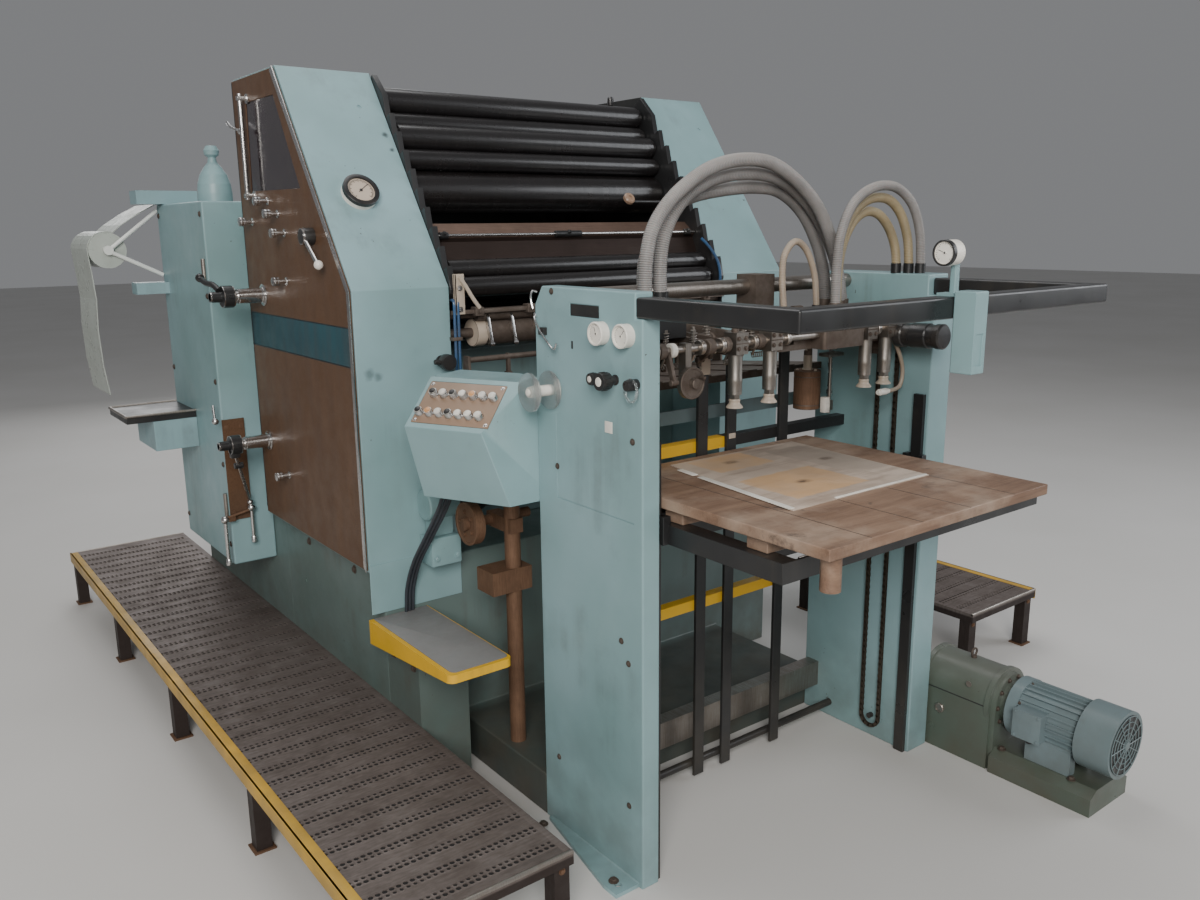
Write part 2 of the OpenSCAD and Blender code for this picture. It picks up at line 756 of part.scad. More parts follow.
key_count = 24;
key_r = 9;
module ink_fountain() {
    y0 = slant_y(unit_h) + 50;
    z0 = unit_h - 95;
    x1 = cab_inner - bracket_t - seat;
    color(black) {
        // Ink keys that press the blade from below, evenly along it
        for (i = [0 : key_count - 1])
            translate([-x1 + (i + 0.5) * 2 * x1 / key_count, y0 + 168, z0 + 46])
                rotate([180 + atan2(72, 76), 0, 0]) {
                    translate([0, 0, -4]) cylinder(r = key_r * 0.5, h = 20);
                    translate([0, 0, 14]) cylinder(r = key_r, h = 24);
                }
        plate_yz([[y0, z0], [y0 + 130, z0 + 10], [y0 + 206, z0 + 82], [y0 + 192, z0 + 92],
            [y0 + 120, z0 + 30], [y0, z0 + 20]], -x1, x1);
        for (x = [-cab_inner, x1])
            plate_yz([[y0 + 56, z0 - 20], [y0 + 215, z0 - 20], [y0 + 215, z0 + 90], [y0 + 56, z0 + 72]],
                x, x + cab_inner - x1);
    }
}

// Control desk: a sloping box turned towards the operator
desk_a = 26.6;
desk_t0 = 560;
desk_t1 = 905;
module desk_prism(t0, t1, pts) {
    rotate([0, 0, desk_a]) translate([0, t1, 0]) rotate([90, 0, 0]) linear_extrude(t1 - t0) polygon(pts);
}
desk_bottom_z = 876;
desk_front_s = -455;
desk_front_z = 1072;
desk_back_s = -335;
desk_back_z = 1180;
desk_slope = [desk_back_s - desk_front_s, desk_back_z - desk_front_z];
button_panel_depth = 2;
button_r = 9;
button_pitch = 29;
// Places its children on the desk's sloping face: X up the slope, Y along the desk
module on_desk() {
    at_feeder() rotate([0, 0, desk_a]) translate([desk_front_s, 0, desk_front_z])
        rotate([0, -atan2(desk_slope[1], desk_slope[0]), 0]) children();
}
module control_desk() {
    color(press_green) difference() {
        at_feeder() intersection() {
            desk_prism(desk_t0, desk_t1, [[-387, desk_bottom_z], [desk_front_s, desk_front_z],
                [desk_back_s, desk_back_z], [-200, desk_back_z], [-200, desk_bottom_z]]);
            block([-1000, feeder_d, 800], [in_l - 2, 1000, 1300]);
        }
        on_desk() translate([14, 668, -button_panel_depth])
            linear_extrude(2 * button_panel_depth) rounded(norm(desk_slope) - 28, 226, 6);
    }
}

module desk_buttons() {
    color(white) on_desk() translate([0, 0, -button_panel_depth]) for (row = [[45, 705], [105, 690]])
        for (i = [0 : 6]) translate([row[0], row[1] + i * button_pitch, 0])
            cylinder(r = button_r, h = 16 + button_panel_depth);
}

// Steps and gallery

step_rim = 20;
module step_plates() {
    y1 = -unit_half_l - seat;
    y0 = y1 - step_l;
    x0 = -unit_half_w - 10;
    color(safety_yellow) difference() {
        intersection() {
            plate_yz([[y0, step_z - 22], [y0, step_z], [y1, step_z], [y1, step_z - 70]], x0, x0 + step_w);
            translate([x0, y0, 0]) linear_extrude(step_z + eps) rounded(step_w, step_l + 30, 20);
        }
        translate([x0 + step_rim, y0 + step_rim, step_z - 2])
            linear_extrude(4) rounded(step_w - step_rim - 6, step_l - step_rim - 8, 14);
    }
    color(press_green) block([x0 + 50, y1 - 190, 0], [x0 + 200, y1, step_z - 70]);
}

module footboard(w, l, z) {
    difference() {
        block([0, 0, z - walk_deck_t], [w, l, z]);
        block([12, 12, z - walk_deck_t - eps], [w - 12, l - 12, z - 8]);
    }
    n = ceil(l / 800);
    for (i = [0 : n]) for (x = [4, w - 44])
        translate([x, 12 + (l - 24 - 40) * i / n, 0]) cube([40, 40, z - 8]);
}
module footboards() {
    color(steel) {
        translate([walk_x0, walk_y0, 0]) footboard(walk_w, walk_l, walk_top_z);
        translate([low_step_x, low_step_y, 0]) footboard(low_step_w, low_step_l, walk_top_z);
    }
}

module feeder_drive_post() {
    y = feeder_front_y + 610;
    color([0.50, 0.33, 0.24]) {
        translate([-505, y, 120]) cylinder(r = 22, h = 750);
        block([-580, y - 30, 866], [-480, y + 30, desk_bottom_z - seat]);
        difference() {
            block([-585, y - 24, 575], [-460, y + 60, 640]);
            translate([-505, y, 574]) cylinder(r = 22 + seat, h = 67);
        }
        bar_x(60, -600, -575, y + 80, 760);
        bar_x(14, -576, -400, y + 80, 760);
        difference() {
            block([-525, y - 24, 740], [-485, y + 100, 780]);
            translate([-505, y, 739]) cylinder(r = 22 + seat, h = 42);
            bar_x(14 + seat, -526, -484, y + 80, 760);
        }
    }
}

// Delivery

chain_shaft_z = frame_top - 140;
sprocket_teeth = 24;
sprocket_r = 82;
function polar(r, a) = [r * cos(a), r * sin(a)];
// Each tooth is a pair of root points and a pair of tip points
module sprocket_outline() {
    polygon([for (k = [0 : sprocket_teeth - 1]) for (p = [[0.06, -9], [0.35, 0], [0.65, 0], [0.94, -9]])
        polar(sprocket_r + p[1], (k + p[0]) * 360 / sprocket_teeth)]);
}
module delivery_frames() {
    z0 = bed_h;
    y0 = unit_half_l + 6;
    color(press_shade) for (s = [-1, 1]) {
        x0 = s < 0 ? -frame_outer : frame_outer - delivery_t;
        plate_yz([[y0, z0], [bed_rear_y - 60, z0], [bed_rear_y - 60, frame_step_z - 60],
            [delivery_rear_y, frame_step_z], [delivery_rear_y, frame_top - 60],
            [delivery_rear_y - 60, frame_top], [y0, frame_top]], x0, x0 + delivery_t);
    }
    // Shafts of the gripper chains, each with a sprocket beside either frame
    inner = frame_outer - delivery_t;
    color(steel) for (y = [y0 + 130, delivery_rear_y - 165]) {
        bar_x(20, -inner - eps, inner + eps, y, chain_shaft_z);
        for (x = [-inner + 30, inner - 42])
            translate([x, y, chain_shaft_z]) rotate([90, 0, 90]) linear_extrude(12) sprocket_outline();
    }
}

module delivery_covers() {
    w = frame_outer - delivery_t;
    y0 = unit_half_l + 6;
    color(press_green) {
        lid_y = (y0 + delivery_rear_y - 80) / 2;
        difference() {
            block([-w, y0, frame_top - 20], [w, delivery_rear_y - 80, frame_top - 4]);
            block([-w - eps, lid_y - 2, frame_top - 7], [w + eps, lid_y + 2, frame_top]);
        }
        for (y = [lid_y - 60, lid_y + 60]) {
            bar_x(8, -90, 90, y, frame_top + 24);
            for (x = [-82, 82])
                translate([x, y, frame_top - 5]) cylinder(r = 7, h = 29);
        }
        block([-w, delivery_rear_y - 60, frame_step_z + 40], [w, delivery_rear_y - 44, frame_top - 70]);
        block([-w, y0, bed_h], [w, y0 + 16, frame_top - 20]);
        block([-w, bed_rear_y - 90, bed_h], [w, bed_rear_y - 74, 900]);
    }
}
module delivery_housings() {
    color(press_green) for (s = [-1, 1]) scale([s, 1, 1])
        plate_xz([[housing_half_w, housing_z], [housing_half_w, housing_h], [housing_inner, housing_h],
            [housing_inner, bed_h], [unit_half_w - bed_inset, bed_h], [unit_half_w - bed_inset, housing_z]],
            housing_y, housing_y + housing_l);
}
module oil_bell() {
    color(press_green) translate([-850, 545, housing_h]) rotate_extrude()
        polygon([[0, 0], [54, 0], [54, 26], [51, 55], [42, 84], [27, 108], [15, 122], [12, 138],
            [22, 146], [24, 160], [16, 174], [0, 176]]);
}

module ball_rod(x, y, z0, z1) {
    translate([x, y, z0]) cylinder(r = 6, h = z1 - z0);
    translate([x, y, z1]) sphere(r = 13);
}
module lever_plate() {
    y1 = housing_y;
    x0 = -housing_half_w;
    w = (housing_half_w - unit_half_w + bed_inset) * 0.486;
    color(brown) block([x0, y1 - 6, 590], [x0 + w, y1, 935]);
    color(chrome) {
        ball_rod(x0 - 24, y1 - 22, 440, 600);
        ball_rod(x0 + w - 6, y1 - 22, 505, 628);
        block([x0 - 30, y1 - 28, 592], [x0 + 10, y1 - 6, 608]);
        block([x0 + w - 16, y1 - 28, 620], [x0 + w + 4, y1 - 6, 636]);
    }
}

module side_tray() {
    y0 = housing_y + 285;
    y1 = housing_y + housing_l;
    x1 = -housing_half_w;
    color(black) block([x1 - 230, y0, 905], [x1, y1, 930]);
    color(press_green) block([x1 - 145, y0, 800], [x1, y1 - 10, 905]);
}

reel_x = -1097;
reel_z = 1484;
reel_y = 990;
module rod_between(a, b, r) {
    d = b - a;
    translate(a) rotate([0, acos(d[2] / norm(d)), atan2(d[1], d[0])]) cylinder(r = r, h = norm(d));
}
module band_holder() {
    x1 = -housing_half_w;
    y = reel_y;
    color(white) {
        rod_between([x1 - 4.4, y, 1619], [reel_x + 4, y, reel_z + 2], 7);
        rod_between([x1 - 3.4, y, 1394], [reel_x + 4, y, reel_z - 4], 7);
        bar_y(16, y - 8, y + 310, reel_x, reel_z);
    }
    color(press_green) {
        block([-1005, housing_y + housing_l - 90, housing_h], [-800, housing_y + housing_l, housing_h + 46]);
        block([-1030, housing_y + housing_l - 70, 1330], [x1, housing_y + housing_l, 1370]);
    }
}
band_t = 3;
band_w = 280;
reel_r = 62;
band_step_a = 15;
band_r = (reel_r + seat) / cos(band_step_a / 2) + band_t;
band_path = concat([[-925, 1642], [-985, 1610], [-1046, 1570]],
    [for (a = [70 : band_step_a : 190]) [reel_x + band_r * cos(a), reel_z + band_r * sin(a)]],
    [[-1156, 1400], [-1151, 1314], [-1157, 1210], [-1154, 1085], [-1142, 976]]);
module film_band() {
    n = len(band_path);
    y0 = reel_y + 18;
    function side(i) = let (d = band_path[min(i + 1, n - 1)] - band_path[max(i - 1, 0)])
        [d[1], -d[0]] / norm(d);
    color(white) plate_xz(concat(band_path,
        [for (i = [n - 1 : -1 : 0]) band_path[i] - band_t * side(i)]), y0, y0 + band_w);
    color(white) difference() {
        bar_y(reel_r, y0 - 6, y0 + band_w + 4, reel_x, reel_z);
        bar_y(16 + seat, y0 - 7, y0 + band_w + 5, reel_x, reel_z);
    }
}

// Pump

pump_x = 670;
pump_y1 = -1230;
pump_y0 = pump_y1 - pump_l;
pump_z = 190;
base_h = 70;
module pump_arch(r, y0, y1) {
    difference() {
        union() {
            bar_y(r, y0, y1, pump_x, pump_z);
            block([pump_x - r, y0, 0], [pump_x + r, y1, pump_z]);
        }
        block([pump_x - r * 0.6, y0 + 30, -eps], [pump_x + r * 0.6, y1 - 30, 20]);
    }
}
module vacuum_pump() {
    color([0.30, 0.38, 0.32]) {
        pump_arch(pump_r, pump_y0, pump_y1);
        // End cover and the flange it is bolted to
        pump_arch(pump_r - 8, pump_y0 - 14, pump_y0 + eps);
        bar_y(pump_r + 5, pump_y0 + 1, pump_y0 + 16, pump_x, pump_z);
        bar_y(pump_r + 5, pump_y1 - 16, pump_y1 - 1, pump_x, pump_z);
        bar_y(62, pump_y0 - 40, pump_y0, pump_x, pump_z);
        plate_xz([[pump_x - 100, 0], [pump_x - 100, base_h - 20], [pump_x - 70, base_h],
            [pump_x + 70, base_h], [pump_x + 100, base_h - 20], [pump_x + 100, 0]],
            pump_y0 - motor_l - 10, pump_y0 - 13);
    }
}

fin_count = 28;
fin_h = 8;
fin_half_a = 1.1;
// The motor's outline with its cooling fins
module finned_outline() {
    polygon([for (k = [0 : fin_count - 1]) for (p = [[-1.2, motor_r - fin_h], [-1, motor_r], [1, motor_r],
        [1.2, motor_r - fin_h]]) polar(p[1], k * 360 / fin_count + p[0] * fin_half_a)]);
}
module pump_motor() {
    y1 = pump_y0 - 40;
    color([0.45, 0.53, 0.56]) {
        translate([pump_x, y1 - motor_l + 85, pump_z]) rotate([-90, 0, 0])
            linear_extrude(motor_l - 115) finned_outline();
        bar_y(motor_r + 2, y1 - 32, y1, pump_x, pump_z);
        bar_y(motor_r + 10, y1 - motor_l, y1 - motor_l + 95, pump_x, pump_z);
        block([pump_x - motor_r - 24, y1 - 120, pump_z - 40], [pump_x - motor_r + 20, y1 - 42, pump_z + 40]);
        for (x = [pump_x - 66, pump_x + 36])
            block([x, y1 - 190, base_h + seat], [x + 30, y1 - 60, pump_z - 30]);
    }
}

// Hoses: a tube swept along a smooth curve through hand-chosen points
function spline(p, i, t) = let (a = p[max(i - 1, 0)], b = p[i], c = p[min(i + 1, len(p) - 1)],
    d = p[min(i + 2, len(p) - 1)]) 0.5 * ((2 * b) + (c - a) * t + (2 * a - 5 * b + 4 * c - d) * t * t
    + (3 * b - a - 3 * c + d) * t * t * t);
function route(p, n) = [for (i = [0 : len(p) - 2]) for (k = [0 : n - 1]) spline(p, i, k / n), p[len(p) - 1]];
function unit(v) = v / norm(v);
function tangent(q, i) = unit(q[min(i + 1, len(q) - 1)] - q[max(i - 1, 0)]);
hose_sides = 10;
module tube(p, r, n) {
    q = route(p, n);
    m = len(q);
    side = [0, 1, 0];
    up = [0, 0, 1];
    rings = [for (i = [0 : m - 1]) let (t = i == 0 ? up : (i == m - 1 ? -up : tangent(q, i)),
        a = unit(cross(t, side)), b = cross(t, a)) for (k = [0 : hose_sides - 1])
        q[i] + r * (a * cos(k * 360 / hose_sides) + b * sin(k * 360 / hose_sides))];
    polyhedron(points = rings, faces = concat(
        [[for (k = [0 : hose_sides - 1]) k]],
        [[for (k = [hose_sides - 1 : -1 : 0]) (m - 1) * hose_sides + k]],
        [for (i = [0 : m - 2]) for (k = [0 : hose_sides - 1]) let (k2 = (k + 1) % hose_sides)
            [i * hose_sides + k2, i * hose_sides + k, (i + 1) * hose_sides + k, (i + 1) * hose_sides + k2]]));
}
suction_hose_r = 17;
blower_hose_r = 13;
link_hose_r = 9;
hose_a = [[-396, 176, 1395], [-393, 176, 1465], [-378, 176, 1530], [-341, 176, 1585], [-280, 176, 1636],
    [-192, 176, 1682], [-92, 176, 1703], [13, 176, 1698], [112, 176, 1655], [195, 176, 1590],
    [252, 176, 1505], [282, 176, 1425], [292, 176, 1345]];
hose_b = [[-317, 214, 1395], [-317, 214, 1460], [-306, 214, 1521], [-274, 214, 1580], [-220, 214, 1627],
    [-141, 214, 1660], [-39, 214, 1674], [70, 214, 1666], [167, 214, 1624], [255, 214, 1546],
    [320, 214, 1446], [350, 214, 1345]];
hose_c = [[-340, 250, 1395], [-335, 250, 1464], [-305, 250, 1534], [-255, 250, 1586], [-191, 250, 1616],
    [-90, 250, 1634], [34, 250, 1643], [128, 250, 1632], [215, 250, 1581], [275, 250, 1506],
    [312, 250, 1424], [325, 250, 1345]];
hose_d = [[165, 82, 1350], [165, 82, 1440], [177, 82, 1525], [222, 82, 1600], [300, 82, 1640],
    [390, 82, 1642], [466, 82, 1600], [508, 82, 1525], [520, 82, 1440]];
hose_e = [[205, 112, 1350], [207, 112, 1440], [222, 112, 1520], [262, 112, 1580], [325, 112, 1612],
    [400, 112, 1612], [458, 112, 1575], [495, 112, 1510], [508, 112, 1440]];
hose_f = [[240, 142, 1350], [244, 142, 1430], [260, 142, 1500], [298, 142, 1555], [350, 142, 1580],
    [405, 142, 1572], [452, 142, 1535], [482, 142, 1485], [492, 142, 1440]];
hose_l = [[101, 200, 1335], [92, 200, 1410], [98, 200, 1470], [138, 200, 1505], [184, 200, 1480],
    [218, 200, 1415], [230, 200, 1335]];
module hose(p, r) { color([0.58, 0.56, 0.53]) at_feeder() tube(p, r, 1); }

feeder_side_operator();
feeder_side_drive();
feeder_cross_tubes();
guard_rail();
rail_switch_box();
gauges();
control_knobs();
setting_wheel();
air_valve_block();
front_guides();
cross_bars();
guide_rails();
hoist_chains();
pile_carrier();
pile_board();
suction_head();
sucker_shafts();
feed_table();
unit_bed();
cabinet_operator();
cabinet_drive();
unit_covers();
operator_panel();
window_glass();
panel_fittings();
impression_lever();
roller_brackets();
ink_roller(0);  // ink_roller_1
ink_roller(1);  // ink_roller_2
ink_roller(2);  // ink_roller_3
ink_roller(3);  // ink_roller_4
ink_roller(4);  // ink_drum
damp_roller(0);  // damp_roller_1
damp_roller(1);  // damp_roller_2
wash_tray();
ink_fountain();
control_desk();
desk_buttons();
step_plates();
footboards();
feeder_drive_post();
delivery_frames();
delivery_covers();
delivery_housings();
oil_bell();
lever_plate();
side_tray();
band_holder();
film_band();
vacuum_pump();
pump_motor();
hose(hose_a, suction_hose_r);  // suction_hose_1
hose(hose_b, suction_hose_r);  // suction_hose_2
hose(hose_c, suction_hose_r);  // suction_hose_3
hose(hose_d, blower_hose_r);  // blower_hose_1
hose(hose_e, blower_hose_r);  // blower_hose_2
hose(hose_f, blower_hose_r);  // blower_hose_3
hose(hose_l, link_hose_r);  // link_hose
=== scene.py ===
# %% [markdown]
# A sheet-fed offset printing press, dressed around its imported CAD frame.
# The frame fixes every size and place. This script gives each surface its finish,
# and adds the detail that is easier to make as meshes than as exact solids.

# %% Load the frame
import math

import bmesh
import bpy
from mathutils import Matrix, Vector


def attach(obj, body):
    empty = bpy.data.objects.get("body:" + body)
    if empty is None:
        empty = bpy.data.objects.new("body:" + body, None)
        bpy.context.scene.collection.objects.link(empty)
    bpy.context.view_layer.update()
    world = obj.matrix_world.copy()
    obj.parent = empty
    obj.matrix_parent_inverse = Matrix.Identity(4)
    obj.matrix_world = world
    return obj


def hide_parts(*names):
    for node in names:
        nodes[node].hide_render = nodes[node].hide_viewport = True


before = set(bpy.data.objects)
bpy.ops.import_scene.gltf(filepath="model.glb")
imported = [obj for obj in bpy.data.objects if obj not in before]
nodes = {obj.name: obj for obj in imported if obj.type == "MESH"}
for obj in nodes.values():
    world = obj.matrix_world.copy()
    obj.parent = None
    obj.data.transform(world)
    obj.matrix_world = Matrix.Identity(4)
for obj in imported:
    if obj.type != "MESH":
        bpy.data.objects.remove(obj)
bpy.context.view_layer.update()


def shown(name, data):
    """A new object at the origin, linked to the scene."""
    thing = bpy.data.objects.new(name, data)
    bpy.context.scene.collection.objects.link(thing)
    return thing

# %% [markdown]
# The camera stands where the photograph was taken from: at eye height beside the feeder,
# turned 37 degrees from the machine's length and looking down a little. A lens of 30 mm
# on a 36 mm frame gives the strong perspective of the picture.

# %% Camera
def camera_matrix(place, yaw, pitch, roll):
    ahead = Vector((math.sin(yaw) * math.cos(pitch), math.cos(yaw) * math.cos(pitch), -math.sin(pitch)))
    right = Vector((math.cos(yaw), -math.sin(yaw), 0))
    down = ahead.cross(right)
    x_axis = math.cos(roll) * right + math.sin(roll) * down
    y_axis = math.sin(roll) * right - math.cos(roll) * down
    turned = Matrix((x_axis, y_axis, -ahead)).transposed().to_4x4()
    return Matrix.Translation(place) @ turned


eye = Vector((-1.896, -2.881, 1.55))
yaw, pitch, roll = (math.radians(angle) for angle in (37.29, 12.63, 0.6))
camera_data = bpy.data.cameras.new("camera")
camera_data.sensor_width = 36
camera_data.lens = 30.0
camera = shown("camera", camera_data)
camera.matrix_world = camera_matrix(eye, yaw, pitch, roll)
bpy.context.scene.camera = camera
print("camera at", tuple(round(v, 3) for v in camera.location))

# %% [markdown]
# Shader graphs are written with a small helper, so that each finish reads as a recipe.
# All patterns use Object coordinates in metres: every object sits at the origin, so a
# pattern stays put when a body moves.

# %% Shader helper
class Finish:
    """One material, with short names for the nodes that the finishes share."""

    def __init__(self, name, **sockets):
        self.material = bpy.data.materials.new(name)
        self.material.use_nodes = True
        self.tree = self.material.node_tree
        self.shader = self.tree.nodes["Principled BSDF"]
        self.place = self.tree.nodes.new("ShaderNodeTexCoord").outputs["Object"]
        for key, value in sockets.items():
            self.set(key.replace("_", " "), value)

    def set(self, socket, value):
        target = self.shader.inputs[socket]
        if isinstance(value, bpy.types.NodeSocket):
            self.tree.links.new(value, target)
        else:
            target.default_value = (*value, 1) if isinstance(value, tuple) and len(value) == 3 else value

    def node(self, kind, settings=None, **inputs):
        made = self.tree.nodes.new("ShaderNode" + kind)
        for key, value in (settings or {}).items():
            setattr(made, key, value)
        for key, value in inputs.items():
            target = made.inputs[int(key[1:]) if key[1:].isdigit() else key.replace("_", " ")]
            if isinstance(value, bpy.types.NodeSocket):
                self.tree.links.new(value, target)
            else:
                target.default_value = value
        return made

    def stretched(self, scale):
        return self.node("Mapping", Vector=self.place, Scale=scale).outputs["Vector"]

    def noise(self, scale, detail=3.0, rough=0.55, vector=None):
        made = self.node("TexNoise", Vector=vector or self.place, Scale=scale, Detail=detail, Roughness=rough)
        return made.outputs["Fac"]

    def cells(self, scale):
        return self.node("TexVoronoi", Vector=self.place, Scale=scale).outputs["Distance"]

    def ramp(self, fac, low, high, start=0.0, end=1.0):
        return self.node("MapRange", {"clamp": True}, Value=fac, i1=low, i2=high, i3=start, i4=end).outputs[0]

    def math(self, operation, a, b=0.0):
        return self.node("Math", {"operation": operation, "use_clamp": True}, i0=a, i1=b).outputs[0]

    def times(self, a, b):
        return self.math("MULTIPLY", a, b)

    def plus(self, a, b):
        return self.math("ADD", a, b)

    def most(self, a, b):
        return self.math("MAXIMUM", a, b)

    def mix(self, fac, a, b):
        made = self.node("Mix", {"data_type": "RGBA"}, Factor=fac)
        for index, value in ((6, a), (7, b)):
            if isinstance(value, bpy.types.NodeSocket):
                self.tree.links.new(value, made.inputs[index])
            else:
                made.inputs[index].default_value = (*value, 1)
        return made.outputs[2]

    def axis(self, name):
        return self.node("SeparateXYZ", Vector=self.place).outputs[name]

    def near(self, spot, radius):
        """One at a spot, fading to zero at a radius with a ragged edge."""
        away = self.node("VectorMath", {"operation": "DISTANCE"}, i0=self.place, i1=spot).outputs["Value"]
        ragged = self.plus(self.times(self.noise(55, 4), radius), away)
        return self.ramp(ragged, radius * 1.35, radius * 0.75)

    def rough(self, scale, detail, low, high):
        """Roughness that wanders between two values."""
        self.set("Roughness", self.ramp(self.noise(scale, detail), 0.3, 0.7, low, high))

    def bump(self, height, strength=0.2, distance=0.001):
        made = self.node("Bump", Height=height, Strength=strength, Distance=distance)
        self.tree.links.new(made.outputs["Normal"], self.shader.inputs["Normal"])


# %% [markdown]
# Most of the press wears the same enamel: a light blue-green coat that has yellowed in
# places, with oil haze, drips down the upright faces, chips to dark primer, and dirt that
# gathers near the floor. Each coat of paint on the machine is that recipe in other colours.

# %% Painted finishes
def shade(colour, amount):
    return tuple(c * amount for c in colour)


def enamel(name, colour, grime=0.5, chips=0.5, gloss=0.42, peel=0.25, second=None, where=None):
    f = Finish(name, IOR=1.48, Coat_Weight=0.15, Coat_Roughness=0.25)
    faded = tuple(min(1, c * 1.10 + 0.01) for c in colour)
    dull = tuple(c * k for c, k in zip(colour, (0.80, 0.84, 0.80)))
    oil = (0.075, 0.062, 0.045)
    primer = (0.05, 0.04, 0.035)
    cloud = f.ramp(f.noise(1.7, 4), 0.35, 0.68)
    coat = f.mix(cloud, dull, faded)
    if second:
        coat = f.mix(where(f), coat, second)
    drips = f.noise(1.0, 5, 0.6, f.stretched((26, 26, 1.1)))
    patches = f.noise(4.2, 6, 0.62)
    soil = f.times(f.ramp(patches, 0.52, 0.78), f.ramp(drips, 0.38, 0.66))
    splash = f.ramp(f.axis("Z"), 0.0, 0.42, 0.75, 0.0)
    splash = f.times(splash, f.ramp(f.noise(9, 5), 0.30, 0.62))
    soil = f.most(f.times(soil, grime), f.times(splash, grime))
    coat = f.mix(soil, coat, oil)
    spots = f.ramp(f.noise(38, 3, 0.7), 0.715, 0.745)
    struck = f.ramp(f.noise(2.6, 2), 0.47, 0.60)
    chip = f.times(f.times(spots, struck), chips * 2)
    coat = f.mix(chip, coat, primer)
    f.set("Base Color", coat)
    f.set("Roughness", f.ramp(f.noise(11, 5), 0.3, 0.72, gloss - 0.09, gloss + 0.16))
    fine = f.noise(420, 2)
    f.bump(f.math("SUBTRACT", f.times(fine, peel), f.times(chip, 0.6)), 0.22, 0.0008)
    return f.material


def inner_shade_and_marks(f):
    """Painted shade on the cabinets' inner faces above about 1.2 m, where they face each other, and dark
    marks where hands and tools have struck them.
    """
    near = f.ramp(f.math("ABSOLUTE", f.axis("X")), 0.5270, 0.5262)
    dark = f.times(near, f.ramp(f.axis("Z"), 1.16, 1.22))
    for spot, radius, depth in hand_marks:
        dark = f.most(dark, f.times(f.near(spot, radius), depth))
    return dark


def bar_ends(f):
    """The safety bars are black near the floor, and the upper one on its drive half."""
    foot = f.ramp(f.axis("Z"), 0.105, 0.100)
    return f.most(foot, f.times(f.ramp(f.axis("Z"), 0.90, 0.91), f.ramp(f.axis("X"), -0.021, -0.019)))


def holder_plates(f):
    """The holder's arms are pale. Its plates above and below them wear the press's colour."""
    return f.most(f.ramp(f.axis("Z"), 1.6385, 1.6395), f.ramp(f.axis("Z"), 1.3755, 1.3745))


def across(axis, low, high, start=0.0, end=1.0):
    """A rule that changes the coat between two places on one axis."""
    return lambda f: f.ramp(f.axis(axis), low, high, start, end)


teal, black, yellow = (0.222, 0.345, 0.372), (0.012, 0.012, 0.013), (0.64, 0.36, 0.004)
# Near-black used as painted shade on the cabinets' inner faces and on the covers between them, and as the
# colour of the hand marks on the cabinet.
shade_and_wear_dark = (0.014, 0.015, 0.015)
# Place, radius and depth of each mark: two low on the cabinet's front, two high on its slope
hand_marks = [((-0.776, -0.399, 1.168), 0.024, 0.45), ((-0.752, -0.399, 1.160), 0.019, 0.45),
              ((-0.548, -0.097, 1.814), 0.015, 0.8), ((-0.543, -0.128, 1.770), 0.012, 0.8)]
press_enamel = enamel("press_enamel", teal, 0.5, 0.65)
cabinet_enamel = enamel("cabinet_enamel", teal, 0.5, 0.65, second=shade_and_wear_dark, where=inner_shade_and_marks)
# The covers' teal is a darker copy of the press's colour, painted shade; above about 1.2 m, between the
# cabinets, they turn to near-black painted shade.
shaded_cover_enamel = enamel("shaded_cover_enamel", (0.130, 0.200, 0.205), 0.9, 0.8, second=shade_and_wear_dark,
                      where=across("Z", 1.12, 1.20))
shaded_enamel = enamel("shaded_enamel", (0.112, 0.158, 0.152), 0.9, 0.8, second=(0.034, 0.040, 0.036),
                       where=across("Y", -0.405, -0.440, 0.0, 0.8))
black_enamel = enamel("black_enamel", black, 0.5, 0.3, 0.34)
# Below 0.41 m the step's leg is teal, darkened further as painted shade under the step.
step_enamel = enamel("step_enamel", yellow, 0.7, 1.0, 0.45, second=(0.085, 0.118, 0.108),
                     where=across("Z", 0.412, 0.408))
bar_enamel = enamel("bar_enamel", yellow, 0.6, 0.9, 0.45, second=black, where=bar_ends)
tray_enamel = enamel("tray_enamel", black, 0.6, 0.4, 0.40, second=teal, where=across("Z", 0.906, 0.904))
holder_enamel = enamel("holder_enamel", (0.66, 0.67, 0.65), 0.4, 0.2, 0.40, second=teal, where=holder_plates)
pump_enamel = enamel("pump_enamel", (0.070, 0.098, 0.078), 0.8, 0.6, 0.34, 0.7, (0.150, 0.155, 0.135),
                     across("Z", 0.185, 0.300, 0.0, 0.7))
motor_enamel = enamel("motor_enamel", (0.135, 0.185, 0.200), 0.7, 0.5, 0.4)
beige_enamel = enamel("beige_enamel", (0.46, 0.38, 0.31), 0.3, 0.1, 0.4)
panel_beige = enamel("panel_beige", (0.28, 0.180, 0.125), 0.5, 0.2, 0.45)
print("painted finishes:", len(bpy.data.materials))

# %% [markdown]
# Bare metal is never clean on a press: turning marks run round the shafts, oil stains it in patches and a
# brown haze lies over the castings. One recipe covers bright shafts, grey castings and rusty brackets by
# changing how much of each it mixes. Where a part sits under others, a mask can add painted shade below a
# given height.

# %% Metal finishes
def bare_metal(name, colour, stain, amount, rough=0.3, grain=(1, 1, 60), metallic=0.95, shade_mask=None):
    f = Finish(name, Metallic=metallic)
    marks = f.noise(14, 4, 0.6, f.stretched(grain))
    patch = f.ramp(f.noise(12, 6, 0.62), 0.5 - amount * 0.35, 0.74)
    coat = f.mix(f.times(patch, amount), f.mix(marks, colour, stain), stain)
    # Where the mask is set, the coat turns to near-black painted shade.
    if shade_mask:
        coat = f.mix(shade_mask(f), coat, (0.022, 0.014, 0.012))
    f.set("Base Color", coat)
    f.set("Roughness", f.ramp(f.plus(f.times(patch, 0.5), marks), 0.2, 1.1, rough, rough + 0.3))
    f.bump(f.plus(f.times(marks, 0.6), f.times(f.noise(160, 3), 0.4)), 0.25, 0.0006)
    return f.material


